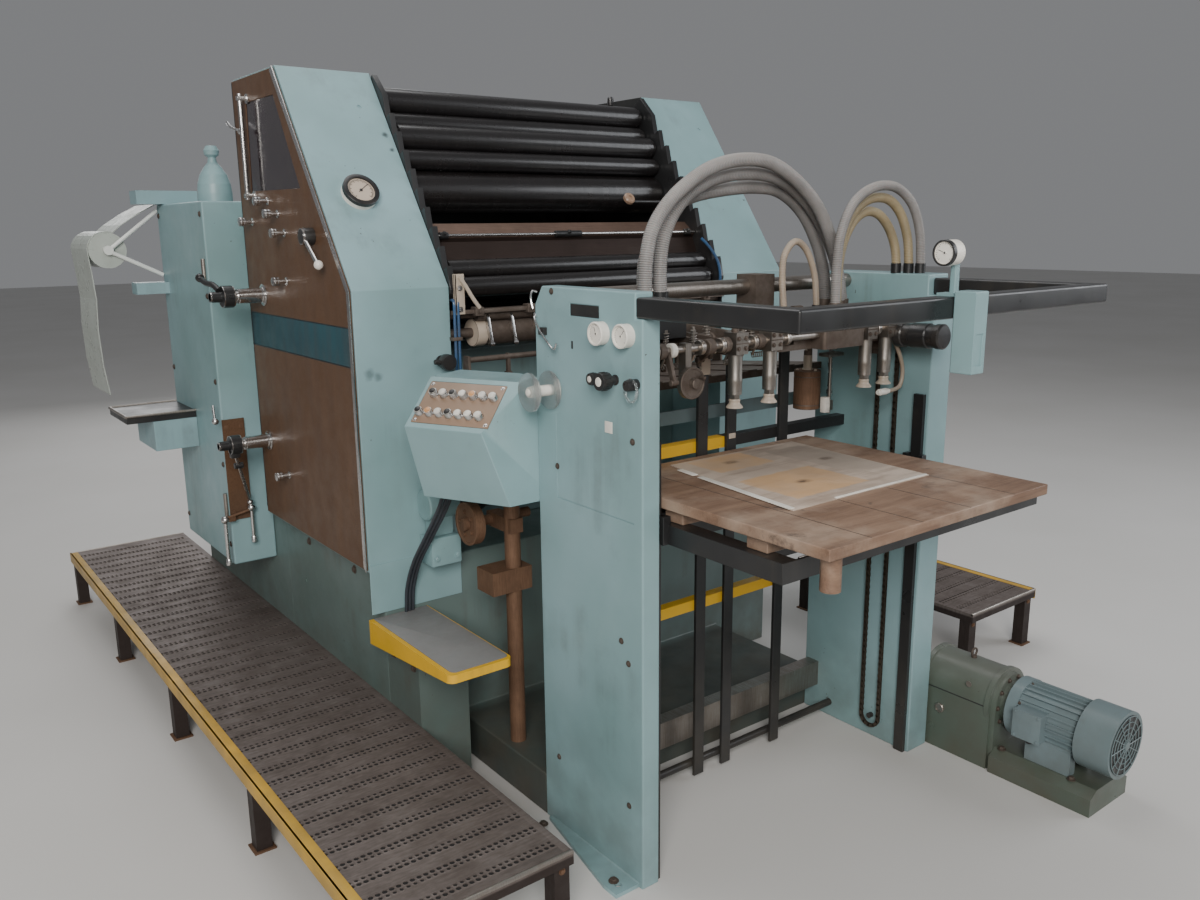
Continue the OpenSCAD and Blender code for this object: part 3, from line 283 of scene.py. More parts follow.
shaft_steel = bare_metal("shaft_steel", (0.56, 0.54, 0.51), (0.16, 0.12, 0.09), 0.45, 0.22, (60, 1, 1))
upright_steel = bare_metal("upright_steel", (0.50, 0.49, 0.47), (0.14, 0.11, 0.08), 0.5, 0.28, (60, 60, 1))
dusty_casting = bare_metal("dusty_casting", (0.27, 0.235, 0.205), (0.075, 0.052, 0.040), 0.8, 0.45, (3, 3, 3),
                           0.7)
brown_steel = bare_metal("brown_steel", (0.30, 0.17, 0.10), (0.09, 0.05, 0.03), 0.8, 0.5, (20, 20, 2), 0.5)
# Below 0.203 m the footboards' frames and legs get painted shade under the deck.
tread_steel = bare_metal("tread_steel", (0.31, 0.265, 0.25), (0.090, 0.070, 0.060), 0.80, 0.42, (2, 9, 2),
                         0.6, across("Z", 0.208, 0.203, 0.0, 0.85))
bright_chrome = bare_metal("bright_chrome", (0.80, 0.80, 0.80), (0.42, 0.40, 0.38), 0.25, 0.10, (4, 4, 4),
                           1.0)
# Below about 1.52 m the wash tray's front face gets painted shade under the rollers.
blade_metal = bare_metal("blade_metal", (0.26, 0.165, 0.120), (0.070, 0.044, 0.034), 0.75, 0.40, (1, 30, 30),
                         0.6, across("Z", 1.5240, 1.5180, 0.0, 0.9))
worn_chain = bare_metal("worn_chain", (0.24, 0.20, 0.16), (0.05, 0.04, 0.03), 0.7, 0.4, (3, 3, 3), 0.9)
print("with metals:", len(bpy.data.materials))

# %% [markdown]
# Plastics, rubber, wood and film each get their own recipe, because what makes them real differs: ink streaks
# on a roller, ribs and a lighter tone on the upward faces of a hose, grain and pale rubbed patches on the
# pile board, speckled brown laminate on the operator's panel.

# %% Soft and smooth finishes
def plastic(name, colour, rough=0.35, dirt=0.3, grain=0.15, **sockets):
    f = Finish(name, **sockets)
    haze = f.ramp(f.noise(17, 5), 0.42, 0.75, 0.0, dirt)
    base = f.mix(f.noise(60, 2), shade(colour, 0.93), colour)
    f.set("Base Color", f.mix(haze, base, (0.10, 0.08, 0.06)))
    f.rough(30, 3, rough - 0.06, rough + 0.12)
    f.bump(f.noise(300, 2), grain, 0.0004)
    return f.material


def roller_rubber(name, colour):
    f = Finish(name, Coat_Weight=0.35, Coat_Roughness=0.12)
    streak = f.noise(6, 5, 0.6, f.stretched((1.2, 22, 22)))
    rings = f.noise(5, 3, 0.5, f.stretched((26, 1, 1)))
    ink = f.ramp(f.times(streak, rings), 0.16, 0.42)
    f.set("Base Color", f.mix(ink, colour, shade(colour, 0.35)))
    f.set("Roughness", f.ramp(f.plus(f.times(streak, 0.6), f.times(rings, 0.5)), 0.3, 0.9, 0.22, 0.46))
    f.bump(f.plus(f.times(rings, 0.5), f.times(f.noise(220, 2), 0.3)), 0.3, 0.0006)
    return f.material


def laminate(name, colour, spot):
    f = Finish(name, IOR=1.25, Coat_Weight=0.05, Coat_Roughness=0.2)
    fleck = f.ramp(f.cells(230), 0.12, 0.5)
    cloud = f.ramp(f.noise(5, 5, 0.6, f.stretched((1, 3, 1))), 0.3, 0.72)
    wipe = f.ramp(f.noise(3, 4, 0.6, f.stretched((1, 14, 1.5))), 0.42, 0.7, 0.0, 0.35)
    base = f.mix(cloud, shade(colour, 0.78), shade(colour, 1.12))
    f.set("Base Color", f.mix(wipe, f.mix(f.times(fleck, 0.35), base, spot), (0.07, 0.05, 0.04)))
    f.rough(16, 4, 0.30, 0.5)
    f.bump(f.cells(420), 0.15, 0.0004)
    return f.material


def board_wood(name):
    f = Finish(name)
    grain = f.noise(5, 8, 0.62, f.stretched((3, 46, 46)))
    ring = f.noise(2.2, 3, 0.5, f.stretched((1.2, 9, 9)))
    wood = f.mix(grain, (0.075, 0.040, 0.026), (0.255, 0.155, 0.100))
    wood = f.mix(f.ramp(ring, 0.4, 0.66, 0.0, 0.5), wood, (0.33, 0.22, 0.15))
    rubbed = f.ramp(f.noise(3.1, 6, 0.65), 0.50, 0.64, 0.0, 0.55)
    wood = f.mix(rubbed, wood, (0.40, 0.31, 0.24))
    ink = f.ramp(f.noise(7.3, 6, 0.7), 0.60, 0.70, 0.0, 0.85)
    f.set("Base Color", f.mix(ink, wood, (0.028, 0.021, 0.018)))
    f.rough(12, 4, 0.45, 0.75)
    f.bump(f.plus(f.times(grain, 0.7), f.times(f.noise(90, 4), 0.3)), 0.5, 0.0012)
    return f.material


def hose_skin(name, colour, upper_tone):
    f = Finish(name, Subsurface_Weight=0.04)
    cloud = f.ramp(f.noise(14, 5), 0.35, 0.7)
    # Faces that point up get a lighter tone, set by the direction of the face.
    top = f.node("NewGeometry").outputs["Normal"]
    up = f.ramp(f.node("SeparateXYZ", Vector=top).outputs["Z"], -0.2, 0.9, 0.0, 0.55)
    f.set("Base Color", f.mix(up, f.mix(cloud, shade(colour, 0.7), colour), upper_tone))
    f.rough(24, 3, 0.42, 0.66)
    f.bump(f.noise(260, 3), 0.2, 0.0005)
    return f.material


black_plastic = plastic("black_plastic", (0.018, 0.018, 0.019), 0.32, 0.2)
dial_white = plastic("dial_white", (0.80, 0.77, 0.70), 0.35, 0.25)
button_white = plastic("button_white", (0.72, 0.69, 0.63), 0.25, 0.35)
lamp_amber = plastic("lamp_amber", (0.55, 0.28, 0.12), 0.2, 0.3)
blue_tube = plastic("blue_tube", (0.025, 0.085, 0.190), 0.3, 0.5)
teal_stripe = laminate("teal_stripe", (0.020, 0.066, 0.084), (0.04, 0.10, 0.12))
brown_laminate = laminate("brown_laminate", (0.086, 0.045, 0.026), (0.175, 0.105, 0.062))
ink_rubber = roller_rubber("ink_rubber", (0.014, 0.0125, 0.0130))
drum_rubber = roller_rubber("drum_rubber", (0.012, 0.0100, 0.0100))
damp_rubber = roller_rubber("damp_rubber", (0.012, 0.0105, 0.0105))
worn_board = board_wood("worn_board")
grey_hose = hose_skin("grey_hose", (0.215, 0.205, 0.20), (0.36, 0.34, 0.32))
yellow_hose = hose_skin("yellow_hose", (0.30, 0.24, 0.14), (0.44, 0.38, 0.26))
thin_hose = hose_skin("thin_hose", (0.36, 0.29, 0.22), (0.46, 0.40, 0.34))
conduit_skin = hose_skin("conduit_skin", (0.030, 0.036, 0.045), (0.085, 0.085, 0.090))
grip_sheet = hose_skin("grip_sheet", (0.155, 0.15, 0.15), (0.25, 0.245, 0.24))
clear_plastic = plastic("clear_plastic", (0.86, 0.90, 0.90), 0.12, 0.05, 0.05, Transmission_Weight=0.92,
                        IOR=1.45)
film_plastic = plastic("film_plastic", (0.46, 0.50, 0.46), 0.30, 0.15, 0.04, Transmission_Weight=0.12,
                       IOR=1.4)
smoked_glass = plastic("smoked_glass", (0.020, 0.012, 0.016), 0.12, 0.12, 0.05, Coat_Weight=0.4)
print("all finishes:", len(bpy.data.materials))

# %% [markdown]
# Small parts are collected in one mesh per group. A shape is built from boxes with softened
# edges, turned profiles and bent rods, all placed in the machine's own frame. Left is the
# operator's side, and front faces the feeder's end.

# %% Mesh helper
left, right, front, up, down = (-1, 0, 0), (1, 0, 0), (0, -1, 0), (0, 0, 1), (0, 0, -1)


def turns(count, extra=0):
    """Angles in equal steps round a circle, with some of them repeated past the start."""
    return [2 * math.pi * k / count for k in range(count + extra)]


def mesh_data(name, mesh):
    """Mesh data made of a bmesh, which is freed."""
    data = bpy.data.meshes.new(name)
    mesh.to_mesh(data)
    mesh.free()
    return data


def smooth(data, crease):
    """Smooth shading, except over edges that bend more than so many degrees."""
    for polygon in data.polygons:
        polygon.use_smooth = True
    data.set_sharp_from_angle(angle=math.radians(crease))


def bend_through(points, steps=8):
    """A smooth line through given points, as a list of vectors."""
    p = [Vector(q) for q in points]
    line = []
    for i in range(len(p) - 1):
        a, b, c, d = p[max(i - 1, 0)], p[i], p[i + 1], p[min(i + 2, len(p) - 1)]
        for k in range(steps):
            t = k / steps
            line.append(0.5 * (2 * b + (c - a) * t + (2 * a - 5 * b + 4 * c - d) * t * t
                               + (3 * b - a - 3 * c + d) * t ** 3))
    return line + [p[-1]]


class Shape:
    """Collects solids into one mesh, with places in metres in the machine's frame."""

    def __init__(self, turn=None):
        self.mesh = bmesh.new()
        self.turn = turn or Matrix.Identity(4)

    def soften(self, faces, bevel, segments=2):
        edges = list({e for f in faces for e in f.edges if e.calc_face_angle(0) > 0.4})
        if bevel and edges:
            bmesh.ops.bevel(self.mesh, geom=edges, offset=bevel, segments=segments, affect="EDGES",
                            profile=0.6, clamp_overlap=True)

    def solid(self, rings):
        """Faces between rings of points, each ring a closed loop of the same count."""
        made = [[self.mesh.verts.new(self.turn @ Vector(p)) for p in ring] for ring in rings]
        count, faces = len(made[0]), []
        for a, b in zip(made, made[1:]):
            for k in range(count):
                faces.append(self.mesh.faces.new((a[k], a[(k + 1) % count], b[(k + 1) % count], b[k])))
        faces += [self.mesh.faces.new(made[0][::-1]), self.mesh.faces.new(made[-1])]
        bmesh.ops.recalc_face_normals(self.mesh, faces=faces)
        return faces

    def box(self, low, high, bevel=0.0015):
        (x0, y0, z0), (x1, y1, z1) = low, high
        ring = [(x0, y0), (x1, y0), (x1, y1), (x0, y1)]
        self.soften(self.solid([[(x, y, z) for x, y in ring] for z in (z0, z1)]), bevel)
        return self

    def prism(self, outline, start, end, axis="x", bevel=0.001):
        """A flat outline carried along one axis. Its points are in the other two, in order."""
        def at(point, d):
            a, b = point
            return {"x": (d, a, b), "y": (a, d, b), "z": (a, b, d)}[axis]
        self.soften(self.solid([[at(p, d) for p in outline] for d in (start, end)]), bevel)
        return self

    def lathe(self, start, along, profile, sides=24):
        """Turns a profile of (distance, radius) pairs about the line from start towards along."""
        start, axis = Vector(start), Vector(along).normalized()
        side = axis.orthogonal().normalized()
        other = axis.cross(side)
        rings = [[start + axis * d + max(r, 0.0002) * (side * math.cos(a) + other * math.sin(a))
                  for a in turns(sides)] for d, r in profile]
        self.solid(rings)
        return self

    def drum(self, start, along, length, radius, soft, sides):
        """A cylinder whose two ends are chamfered."""
        return self.lathe(start, along, [
            (0, radius - soft), (soft, radius), (length - soft, radius), (length, radius - soft)], sides)

    def rod(self, start, end, radius, sides=14):
        along = Vector(end) - Vector(start)
        soft = min(radius * 0.15, along.length * 0.2)
        return self.drum(start, along, along.length, radius, soft, sides)

    def ball(self, centre, radius, sides=16):
        steps = [math.pi * k / 10 for k in range(11)]
        profile = [(radius * (1 - math.cos(a)), radius * math.sin(a)) for a in steps]
        return self.lathe(Vector(centre) - Vector((0, 0, radius)), up, profile, sides)

    def bent(self, points, radius, sides=10, steps=6):
        """A bent rod, wire or small tube along a smooth line."""
        line = bend_through(points, steps)
        rings, side = [], None
        for i, p in enumerate(line):
            axis = (line[min(i + 1, len(line) - 1)] - line[max(i - 1, 0)]).normalized()
            side = (side - axis * side.dot(axis)).normalized() if side else axis.orthogonal().normalized()
            other = axis.cross(side)
            rings.append([p + radius * (side * math.cos(a) + other * math.sin(a))
                          for a in turns(sides)])
        self.solid(rings)
        return self

    def screw(self, place, along, radius=0.006, height=0.004, kind="hex"):
        """A bolt head with its washer, standing on a surface."""
        place, axis = Vector(place), Vector(along).normalized()
        self.lathe(place, axis, [(0, radius * 1.45), (height * 0.25, radius * 1.45)], 16)
        sides = 6 if kind == "hex" else 14
        self.lathe(place + axis * height * 0.25, axis, [(0, radius), (height * 0.85, radius),
                                                       (height, radius * 0.86)], sides)
        return self

    def done(self, name, finish, body="press"):
        data = mesh_data(name, self.mesh)
        smooth(data, 35)
        data.materials.append(finish)
        piece = shown(name, data)
        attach(piece, body)
        print(name, "has", len(data.polygons), "faces")
        return piece


# %% [markdown]
# The ribbed hoses come first, because their routes decide how much room the model takes.
# A Geometry Nodes tree turns a line of points into a tube: the line is smoothed, cut into
# short equal steps, and its radius swells and shrinks with the distance along it.

# %% A node tree for ribbed hoses
def node_tree(name, sockets):
    """An empty Geometry Nodes tree with named inputs, and short ways to add nodes and sums."""
    tree = bpy.data.node_groups.new(name, "GeometryNodeTree")
    tree.interface.new_socket("Geometry", in_out="INPUT", socket_type="NodeSocketGeometry")
    for label, kind in sockets:
        tree.interface.new_socket(label, in_out="INPUT", socket_type="NodeSocket" + kind)
    tree.interface.new_socket("Geometry", in_out="OUTPUT", socket_type="NodeSocketGeometry")
    source, result = tree.nodes.new("NodeGroupInput"), tree.nodes.new("NodeGroupOutput")

    def add(kind, settings=None, inputs=None):
        made = tree.nodes.new(kind)
        for key, value in (settings or {}).items():
            setattr(made, key, value)
        for key, value in (inputs or {}).items():
            if isinstance(value, bpy.types.NodeSocket):
                tree.links.new(value, made.inputs[key])
            else:
                made.inputs[key].default_value = value
        return made

    def sums(operation, *values):
        return add("ShaderNodeMath", {"operation": operation}, dict(enumerate(values))).outputs[0]

    def close(socket):
        real = add("GeometryNodeRealizeInstances", None, {"Geometry": socket})
        coated = add("GeometryNodeSetMaterial", None,
                     {"Geometry": real.outputs[0], "Material": source.outputs["Material"]})
        tree.links.new(coated.outputs[0], result.inputs[0])

    return tree, source.outputs, add, sums, close


def run_tree(name, tree, host_mesh, values, body="press"):
    """Runs a tree on a mesh and keeps the result as one plain mesh that rides on a body."""
    piece = shown(name, host_mesh)
    modifier = piece.modifiers.new("made", "NODES")
    modifier.node_group = tree
    for item in tree.interface.items_tree:
        if item.in_out == "INPUT" and item.name in values:
            modifier[item.identifier] = values[item.name]
    graph = bpy.context.evaluated_depsgraph_get()
    data = bpy.data.meshes.new_from_object(piece.evaluated_get(graph))
    piece.modifiers.clear()
    data.name = name
    piece.data = data
    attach(piece, body)
    print(name, "has", len(data.polygons), "faces")
    return piece


def line_mesh(name, points):
    data = bpy.data.meshes.new(name)
    data.from_pydata(points, [(i, i + 1) for i in range(len(points) - 1)], [])
    return data


def ribbed_tube_tree():
    tree, given, add, sums, close = node_tree("ribbed_tube", [
        ("Radius", "Float"), ("Pitch", "Float"), ("Depth", "Float"), ("Sides", "Int"),
        ("Material", "Material")])
    line = add("GeometryNodeMeshToCurve", None, {"Mesh": given["Geometry"]})
    smooth = add("GeometryNodeCurveSplineType", {"spline_type": "CATMULL_ROM"}, {"Curve": line.outputs[0]})
    fine = add("GeometryNodeSetSplineResolution", None, {"Geometry": smooth.outputs[0], "Resolution": 24})
    step = sums("DIVIDE", given["Pitch"], 4.0)
    cut = add("GeometryNodeResampleCurve", {"mode": "LENGTH"}, {"Curve": fine.outputs[0], "Length": step})
    along = add("GeometryNodeSplineParameter")
    angle = sums("MULTIPLY", sums("DIVIDE", along.outputs["Length"], given["Pitch"]), 2 * math.pi)
    swell = sums("MULTIPLY_ADD", sums("SINE", angle), given["Depth"], given["Radius"])
    ring = add("GeometryNodeCurvePrimitiveCircle", {"mode": "RADIUS"},
               {"Resolution": given["Sides"], "Radius": 1.0})
    skin = add("GeometryNodeCurveToMesh", None, {
        "Curve": cut.outputs[0], "Profile Curve": ring.outputs["Curve"], "Scale": swell, "Fill Caps": True})
    soft = add("GeometryNodeSetShadeSmooth", None, {"Geometry": skin.outputs[0], "Shade Smooth": True})
    close(soft.outputs[0])
    return tree


ribbed_tube = ribbed_tube_tree()
print("ribbed tube tree:", len(ribbed_tube.nodes), "nodes")

# %% [markdown]
# Three thick suction hoses arch from the valve block on the operator's side to the suction
# head, three thinner ones feed the blowers from the drive side, and a small one links two
# ports on the head. Their points repeat the routes of the frame's plain tubes, in metres.

# %% The seven hoses
feeder_y = -1.265


def in_plane(y, *points):
    """A route in one upright plane, from that plane's distance and (x, z) places."""
    return [Vector((x, y + feeder_y, z)) for x, z in points]


suction_1 = in_plane(0.176, (-0.396, 1.395), (-0.393, 1.465), (-0.378, 1.530), (-0.341, 1.585),
                     (-0.280, 1.636), (-0.192, 1.682), (-0.092, 1.703), (0.013, 1.698), (0.112, 1.655),
                     (0.195, 1.590), (0.252, 1.505), (0.282, 1.425), (0.292, 1.345))
suction_2 = in_plane(0.214, (-0.317, 1.395), (-0.317, 1.460), (-0.306, 1.521), (-0.274, 1.580),
                     (-0.220, 1.627), (-0.141, 1.660), (-0.039, 1.674), (0.070, 1.666), (0.167, 1.624),
                     (0.255, 1.546), (0.320, 1.446), (0.350, 1.345))
suction_3 = in_plane(0.250, (-0.340, 1.395), (-0.335, 1.464), (-0.305, 1.534), (-0.255, 1.586),
                     (-0.191, 1.616), (-0.090, 1.634), (0.034, 1.643), (0.128, 1.632), (0.215, 1.581),
                     (0.275, 1.506), (0.312, 1.424), (0.325, 1.345))
blower_1 = in_plane(0.082, (0.165, 1.350), (0.165, 1.440), (0.177, 1.525), (0.222, 1.600), (0.300, 1.640),
                    (0.390, 1.642), (0.466, 1.600), (0.508, 1.525), (0.520, 1.440))
blower_2 = in_plane(0.112, (0.205, 1.350), (0.207, 1.440), (0.222, 1.520), (0.262, 1.580), (0.325, 1.612),
                    (0.400, 1.612), (0.458, 1.575), (0.495, 1.510), (0.508, 1.440))
blower_3 = in_plane(0.142, (0.240, 1.350), (0.244, 1.430), (0.260, 1.500), (0.298, 1.555), (0.350, 1.580),
                    (0.405, 1.572), (0.452, 1.535), (0.482, 1.485), (0.492, 1.440))
link = in_plane(0.200, (0.101, 1.335), (0.092, 1.410), (0.098, 1.470), (0.138, 1.505), (0.184, 1.480),
                (0.218, 1.415), (0.230, 1.335))


def hose(name, points, radius, finish, pitch=0.0052, depth=0.0007):
    values = {"Radius": radius - depth, "Pitch": pitch, "Depth": depth, "Sides": 16, "Material": finish}
    piece = run_tree(name + "_skin", ribbed_tube, line_mesh(name, points), values)
    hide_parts(name)
    path = bend_through(points, 6)
    measured = sum((b - a).length for a, b in zip(path, path[1:]))
    print(name, "is", round(measured, 3), "m long")
    return piece


hose("suction_hose_1", suction_1, 0.017, grey_hose)
hose("suction_hose_2", suction_2, 0.017, grey_hose)
hose("suction_hose_3", suction_3, 0.017, grey_hose)
hose("blower_hose_1", blower_1, 0.013, grey_hose, 0.0044)
hose("blower_hose_2", blower_2, 0.013, yellow_hose, 0.0044)
hose("blower_hose_3", blower_3, 0.013, yellow_hose, 0.0044)
hose("link_hose", link, 0.009, thin_hose, 0.0040, 0.0004)

# %% [markdown]
# The stage is a pale floor with soft light from above, like a quiet studio.

# %% Floor and lights
def flat_floor():
    f = Finish("studio_floor", Roughness=0.7)
    f.set("Base Color", f.mix(f.ramp(f.noise(0.8, 3), 0.3, 0.7), (0.54, 0.53, 0.51), (0.58, 0.57, 0.555)))
    data = bpy.data.meshes.new("studio_floor")
    half = 30
    corners = [(-half, -half, 0), (half, -half, 0), (half, half, 0), (-half, half, 0)]
    data.from_pydata(corners, [], [(0, 1, 2, 3)])
    data.materials.append(f.material)
    floor = shown("studio_floor", data)


def soft_light(name, place, aim, size, power, tint=(1, 1, 1)):
    data = bpy.data.lights.new(name, "AREA")
    data.shape = "DISK"
    data.size = size
    data.energy = power
    data.color = tint
    lamp = shown(name, data)
    lamp.location = place
    lamp.rotation_euler = (Vector(aim) - Vector(place)).to_track_quat("-Z", "Y").to_euler()


flat_floor()
soft_light("key_light", (-3.9, -5.4, 3.6), (0, -0.6, 0.8), 3.0, 430, (1.0, 0.97, 0.93))
soft_light("fill_light", (4.6, -3.8, 3.0), (0.2, 0, 0.8), 3.6, 120, (0.93, 0.96, 1.0))
soft_light("top_light", (-0.5, 1.0, 5.6), (0, 0, 0.8), 4.5, 130)
soft_light("back_light", (1.0, 6.0, 3.2), (0, 0, 1.0), 4.0, 80)
world = bpy.data.worlds.new("studio")
bpy.context.scene.world = world
world.use_nodes = True
world.node_tree.nodes["Background"].inputs["Color"].default_value = (0.62, 0.63, 0.65, 1)
world.node_tree.nodes["Background"].inputs["Strength"].default_value = 0.34

# %% [markdown]
# Every frame node that still shows gets its finish here. The list reads as a paint plan.

# %% Finishes of the frame's own nodes
paint_plan = {
    press_enamel: ["feeder_side_operator", "feeder_side_drive", "rail_switch_box", "control_desk",
                   "delivery_covers", "delivery_housings", "oil_bell"],
    cabinet_enamel: ["cabinet_operator", "cabinet_drive"],
    shaded_cover_enamel: ["unit_covers"],
    shaded_enamel: ["unit_bed", "delivery_frames"],
    black_enamel: ["guard_rail", "front_guides", "guide_rails", "pile_carrier", "roller_brackets",
                   "air_valve_block", "ink_fountain"],
    bar_enamel: ["cross_bars"],
    step_enamel: ["step_plates"],
    tray_enamel: ["side_tray"],
    holder_enamel: ["band_holder"],
    shaft_steel: ["feeder_cross_tubes", "sucker_shafts"],
    dusty_casting: ["suction_head", "feed_table"],
    worn_chain: ["hoist_chains"],
    brown_steel: ["feeder_drive_post"],
    tread_steel: ["footboards"],
    bright_chrome: ["panel_fittings", "impression_lever"],
    blade_metal: ["wash_tray"],
    pump_enamel: ["vacuum_pump"],
    motor_enamel: ["pump_motor"],
    brown_laminate: ["operator_panel", "lever_plate"],
    smoked_glass: ["window_glass"],
    worn_board: ["pile_board"],
    ink_rubber: ["ink_roller_1", "ink_roller_2", "ink_roller_3", "ink_roller_4"],
    drum_rubber: ["ink_drum"],
    damp_rubber: ["damp_roller_1", "damp_roller_2"],
    dial_white: ["gauges"],
    button_white: ["desk_buttons"],
    black_plastic: ["control_knobs"],
    clear_plastic: ["setting_wheel"],
    film_plastic: ["film_band"],
}
for finish, names in paint_plan.items():
    for name in names:
        for slot in nodes[name].material_slots:
            slot.material = finish
        if not nodes[name].material_slots:
            nodes[name].data.materials.append(finish)
print("nodes with a finish:", sum(len(names) for names in paint_plan.values()))

# %% [markdown]
# The castings and sheet-metal cabinets of the frame have perfectly sharp edges. Real ones
# are filed or folded, and the thin light line along an edge is what makes a big plain face
# look solid. So a merged copy of each big node gets its long edges rounded and stands for
# the node. Edges of narrow faces, as in grooves and slots, are left as they are.

# %% Copies with rounded edges
def long_edges(mesh, least):
    """Sharp edges between two faces that are both wide enough to be rounded."""
    def wide(face):
        return face.calc_area() / max(e.calc_length() for e in face.edges) > least
    return [e for e in mesh.edges if len(e.link_faces) == 2 and e.calc_length() > 0.02
            and e.calc_face_angle(0) > 0.5 and all(wide(f) for f in e.link_faces)]


def softened(names, finish, radius=0.004, least=0.012, body="press"):
    for name in names:
        mesh = bmesh.new()
        mesh.from_mesh(nodes[name].data)
        bmesh.ops.remove_doubles(mesh, verts=mesh.verts, dist=0.00002)
        bmesh.ops.dissolve_limit(mesh, angle_limit=math.radians(1), verts=mesh.verts, edges=mesh.edges)
        chosen = long_edges(mesh, least)
        bmesh.ops.bevel(mesh, geom=chosen, offset=radius, segments=3, affect="EDGES", profile=0.5,
                        clamp_overlap=True)
        data = mesh_data(name + "_body", mesh)
        smooth(data, 34)
        data.materials.append(finish)
        piece = shown(name + "_body", data)
        even = piece.modifiers.new("even", "WEIGHTED_NORMAL")
        even.keep_sharp = True
        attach(piece, body)
        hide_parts(name)
        print(piece.name, "rounds", len(chosen), "edges")


softened(["cabinet_operator", "cabinet_drive"], cabinet_enamel, 0.009)
softened(["feeder_side_operator", "feeder_side_drive"], press_enamel, 0.004)
softened(["delivery_housings", "delivery_covers", "control_desk"], press_enamel, 0.006)
softened(["unit_bed", "delivery_frames"], shaded_enamel, 0.005)
softened(["unit_covers"], shaded_cover_enamel, 0.005)
softened(["guard_rail"], black_enamel, 0.006)
softened(["rail_switch_box"], press_enamel, 0.003)
softened(["front_guides", "roller_brackets", "ink_fountain"], black_enamel, 0.0015, 0.008)
softened(["side_tray"], tray_enamel, 0.0015, 0.008)
softened(["operator_panel"], brown_laminate, 0.0015, 0.004)
softened(["suction_head", "feed_table"], dusty_casting, 0.003, 0.010)
softened(["pile_board"], worn_board, 0.003, 0.010, "pile_table")
softened(["pile_carrier"], black_enamel, 0.0012, 0.004, "pile_table")

# %% [markdown]
# The footboards are sheets punched with small holes in double rows across the walkway, a
# row group every 70 mm. Cutting a thousand holes in one mesh would be slow and messy, so one
# small tile with four holes is built once, and a Geometry Nodes grid lays copies of it in
# rows. Dark strips lie under the holes, because one looks through them into shadow.

# %% One tile of the punched tread
tile_x, tile_y, tile_thick, rim_height = 0.0157, 0.140, 0.0009, 0.0009


def hole_cell(mesh, cx, cy, half_x, half_y, radius):
    """A rectangle with an eight-sided hole, and the wall of the hole below it."""
    outer = [(1, 0), (1, 1), (0, 1), (-1, 1), (-1, 0), (-1, -1), (0, -1), (1, -1)]
    rim = [mesh.verts.new((cx + half_x * x, cy + half_y * y, 0)) for x, y in outer]
    hole = [(cx + radius * math.cos(a), cy + radius * math.sin(a)) for a in turns(8)]
    top = [mesh.verts.new((x, y, rim_height)) for x, y in hole]
    low = [mesh.verts.new((x, y, -tile_thick)) for x, y in hole]
    for k in range(8):
        n = (k + 1) % 8
        mesh.faces.new((rim[k], rim[n], top[n], top[k]))
        mesh.faces.new((top[k], top[n], low[n], low[k]))


def tread_tile():
    mesh = bmesh.new()
    half = tile_x / 2
    rows = [(0.012, 0.0061), (0.026, 0.0047), (0.082, 0.0047), (0.096, 0.0061)]
    for y, radius in rows:
        hole_cell(mesh, half, y, half, 0.007, radius)
    for y0, y1 in ((0, 0.005), (0.033, 0.075), (0.103, tile_y)):
        mesh.faces.new([mesh.verts.new((x, y, 0)) for x, y in ((0, y0), (tile_x, y0), (tile_x, y1), (0, y1))])
    return shown("tread_tile", mesh_data("tread_tile", mesh))


tile = tread_tile()
print("one tile has", len(tile.data.polygons), "faces")

# %% A grid of tiles by Geometry Nodes
def tile_grid_tree():
    tree, given, add, sums, close = node_tree("tile_grid", [
        ("Tile", "Object"), ("Columns", "Int"), ("Rows", "Int"), ("Corner", "Vector"),
        ("Material", "Material")])
    shape = add("GeometryNodeObjectInfo", None, {"Object": given["Tile"]})
    points = add("GeometryNodePoints", None, {"Count": sums("MULTIPLY", given["Columns"], given["Rows"])})
    number = add("GeometryNodeInputIndex").outputs[0]
    row = sums("FLOOR", sums("DIVIDE", number, given["Columns"]))
    column = sums("SUBTRACT", number, sums("MULTIPLY", row, given["Columns"]))
    step = add("ShaderNodeCombineXYZ", None, {
        "X": sums("MULTIPLY", column, tile_x), "Y": sums("MULTIPLY", row, tile_y)})
    place = add("ShaderNodeVectorMath", {"operation": "ADD"}, {0: step.outputs[0], 1: given["Corner"]})
    points.inputs["Radius"].default_value = 0.001
    moved = add("GeometryNodeSetPosition", None,
                {"Geometry": points.outputs[0], "Position": place.outputs[0]})
    copies = add("GeometryNodeInstanceOnPoints", None, {
        "Points": moved.outputs[0], "Instance": shape.outputs["Geometry"]})
    close(copies.outputs[0])
    return tree


tile_grid = tile_grid_tree()
shadow = Finish("tread_shadow", Base_Color=(0.006, 0.005, 0.005), Roughness=0.9)
shadow.bump(shadow.noise(80), 0.3)
walk_low, walk_high = (-1.2323, -1.295), (-0.7723, 1.710)
step_low, step_high = (1.110, -1.065), (1.515, -0.265)
deck_z, sheet_top = 0.215, 0.2162


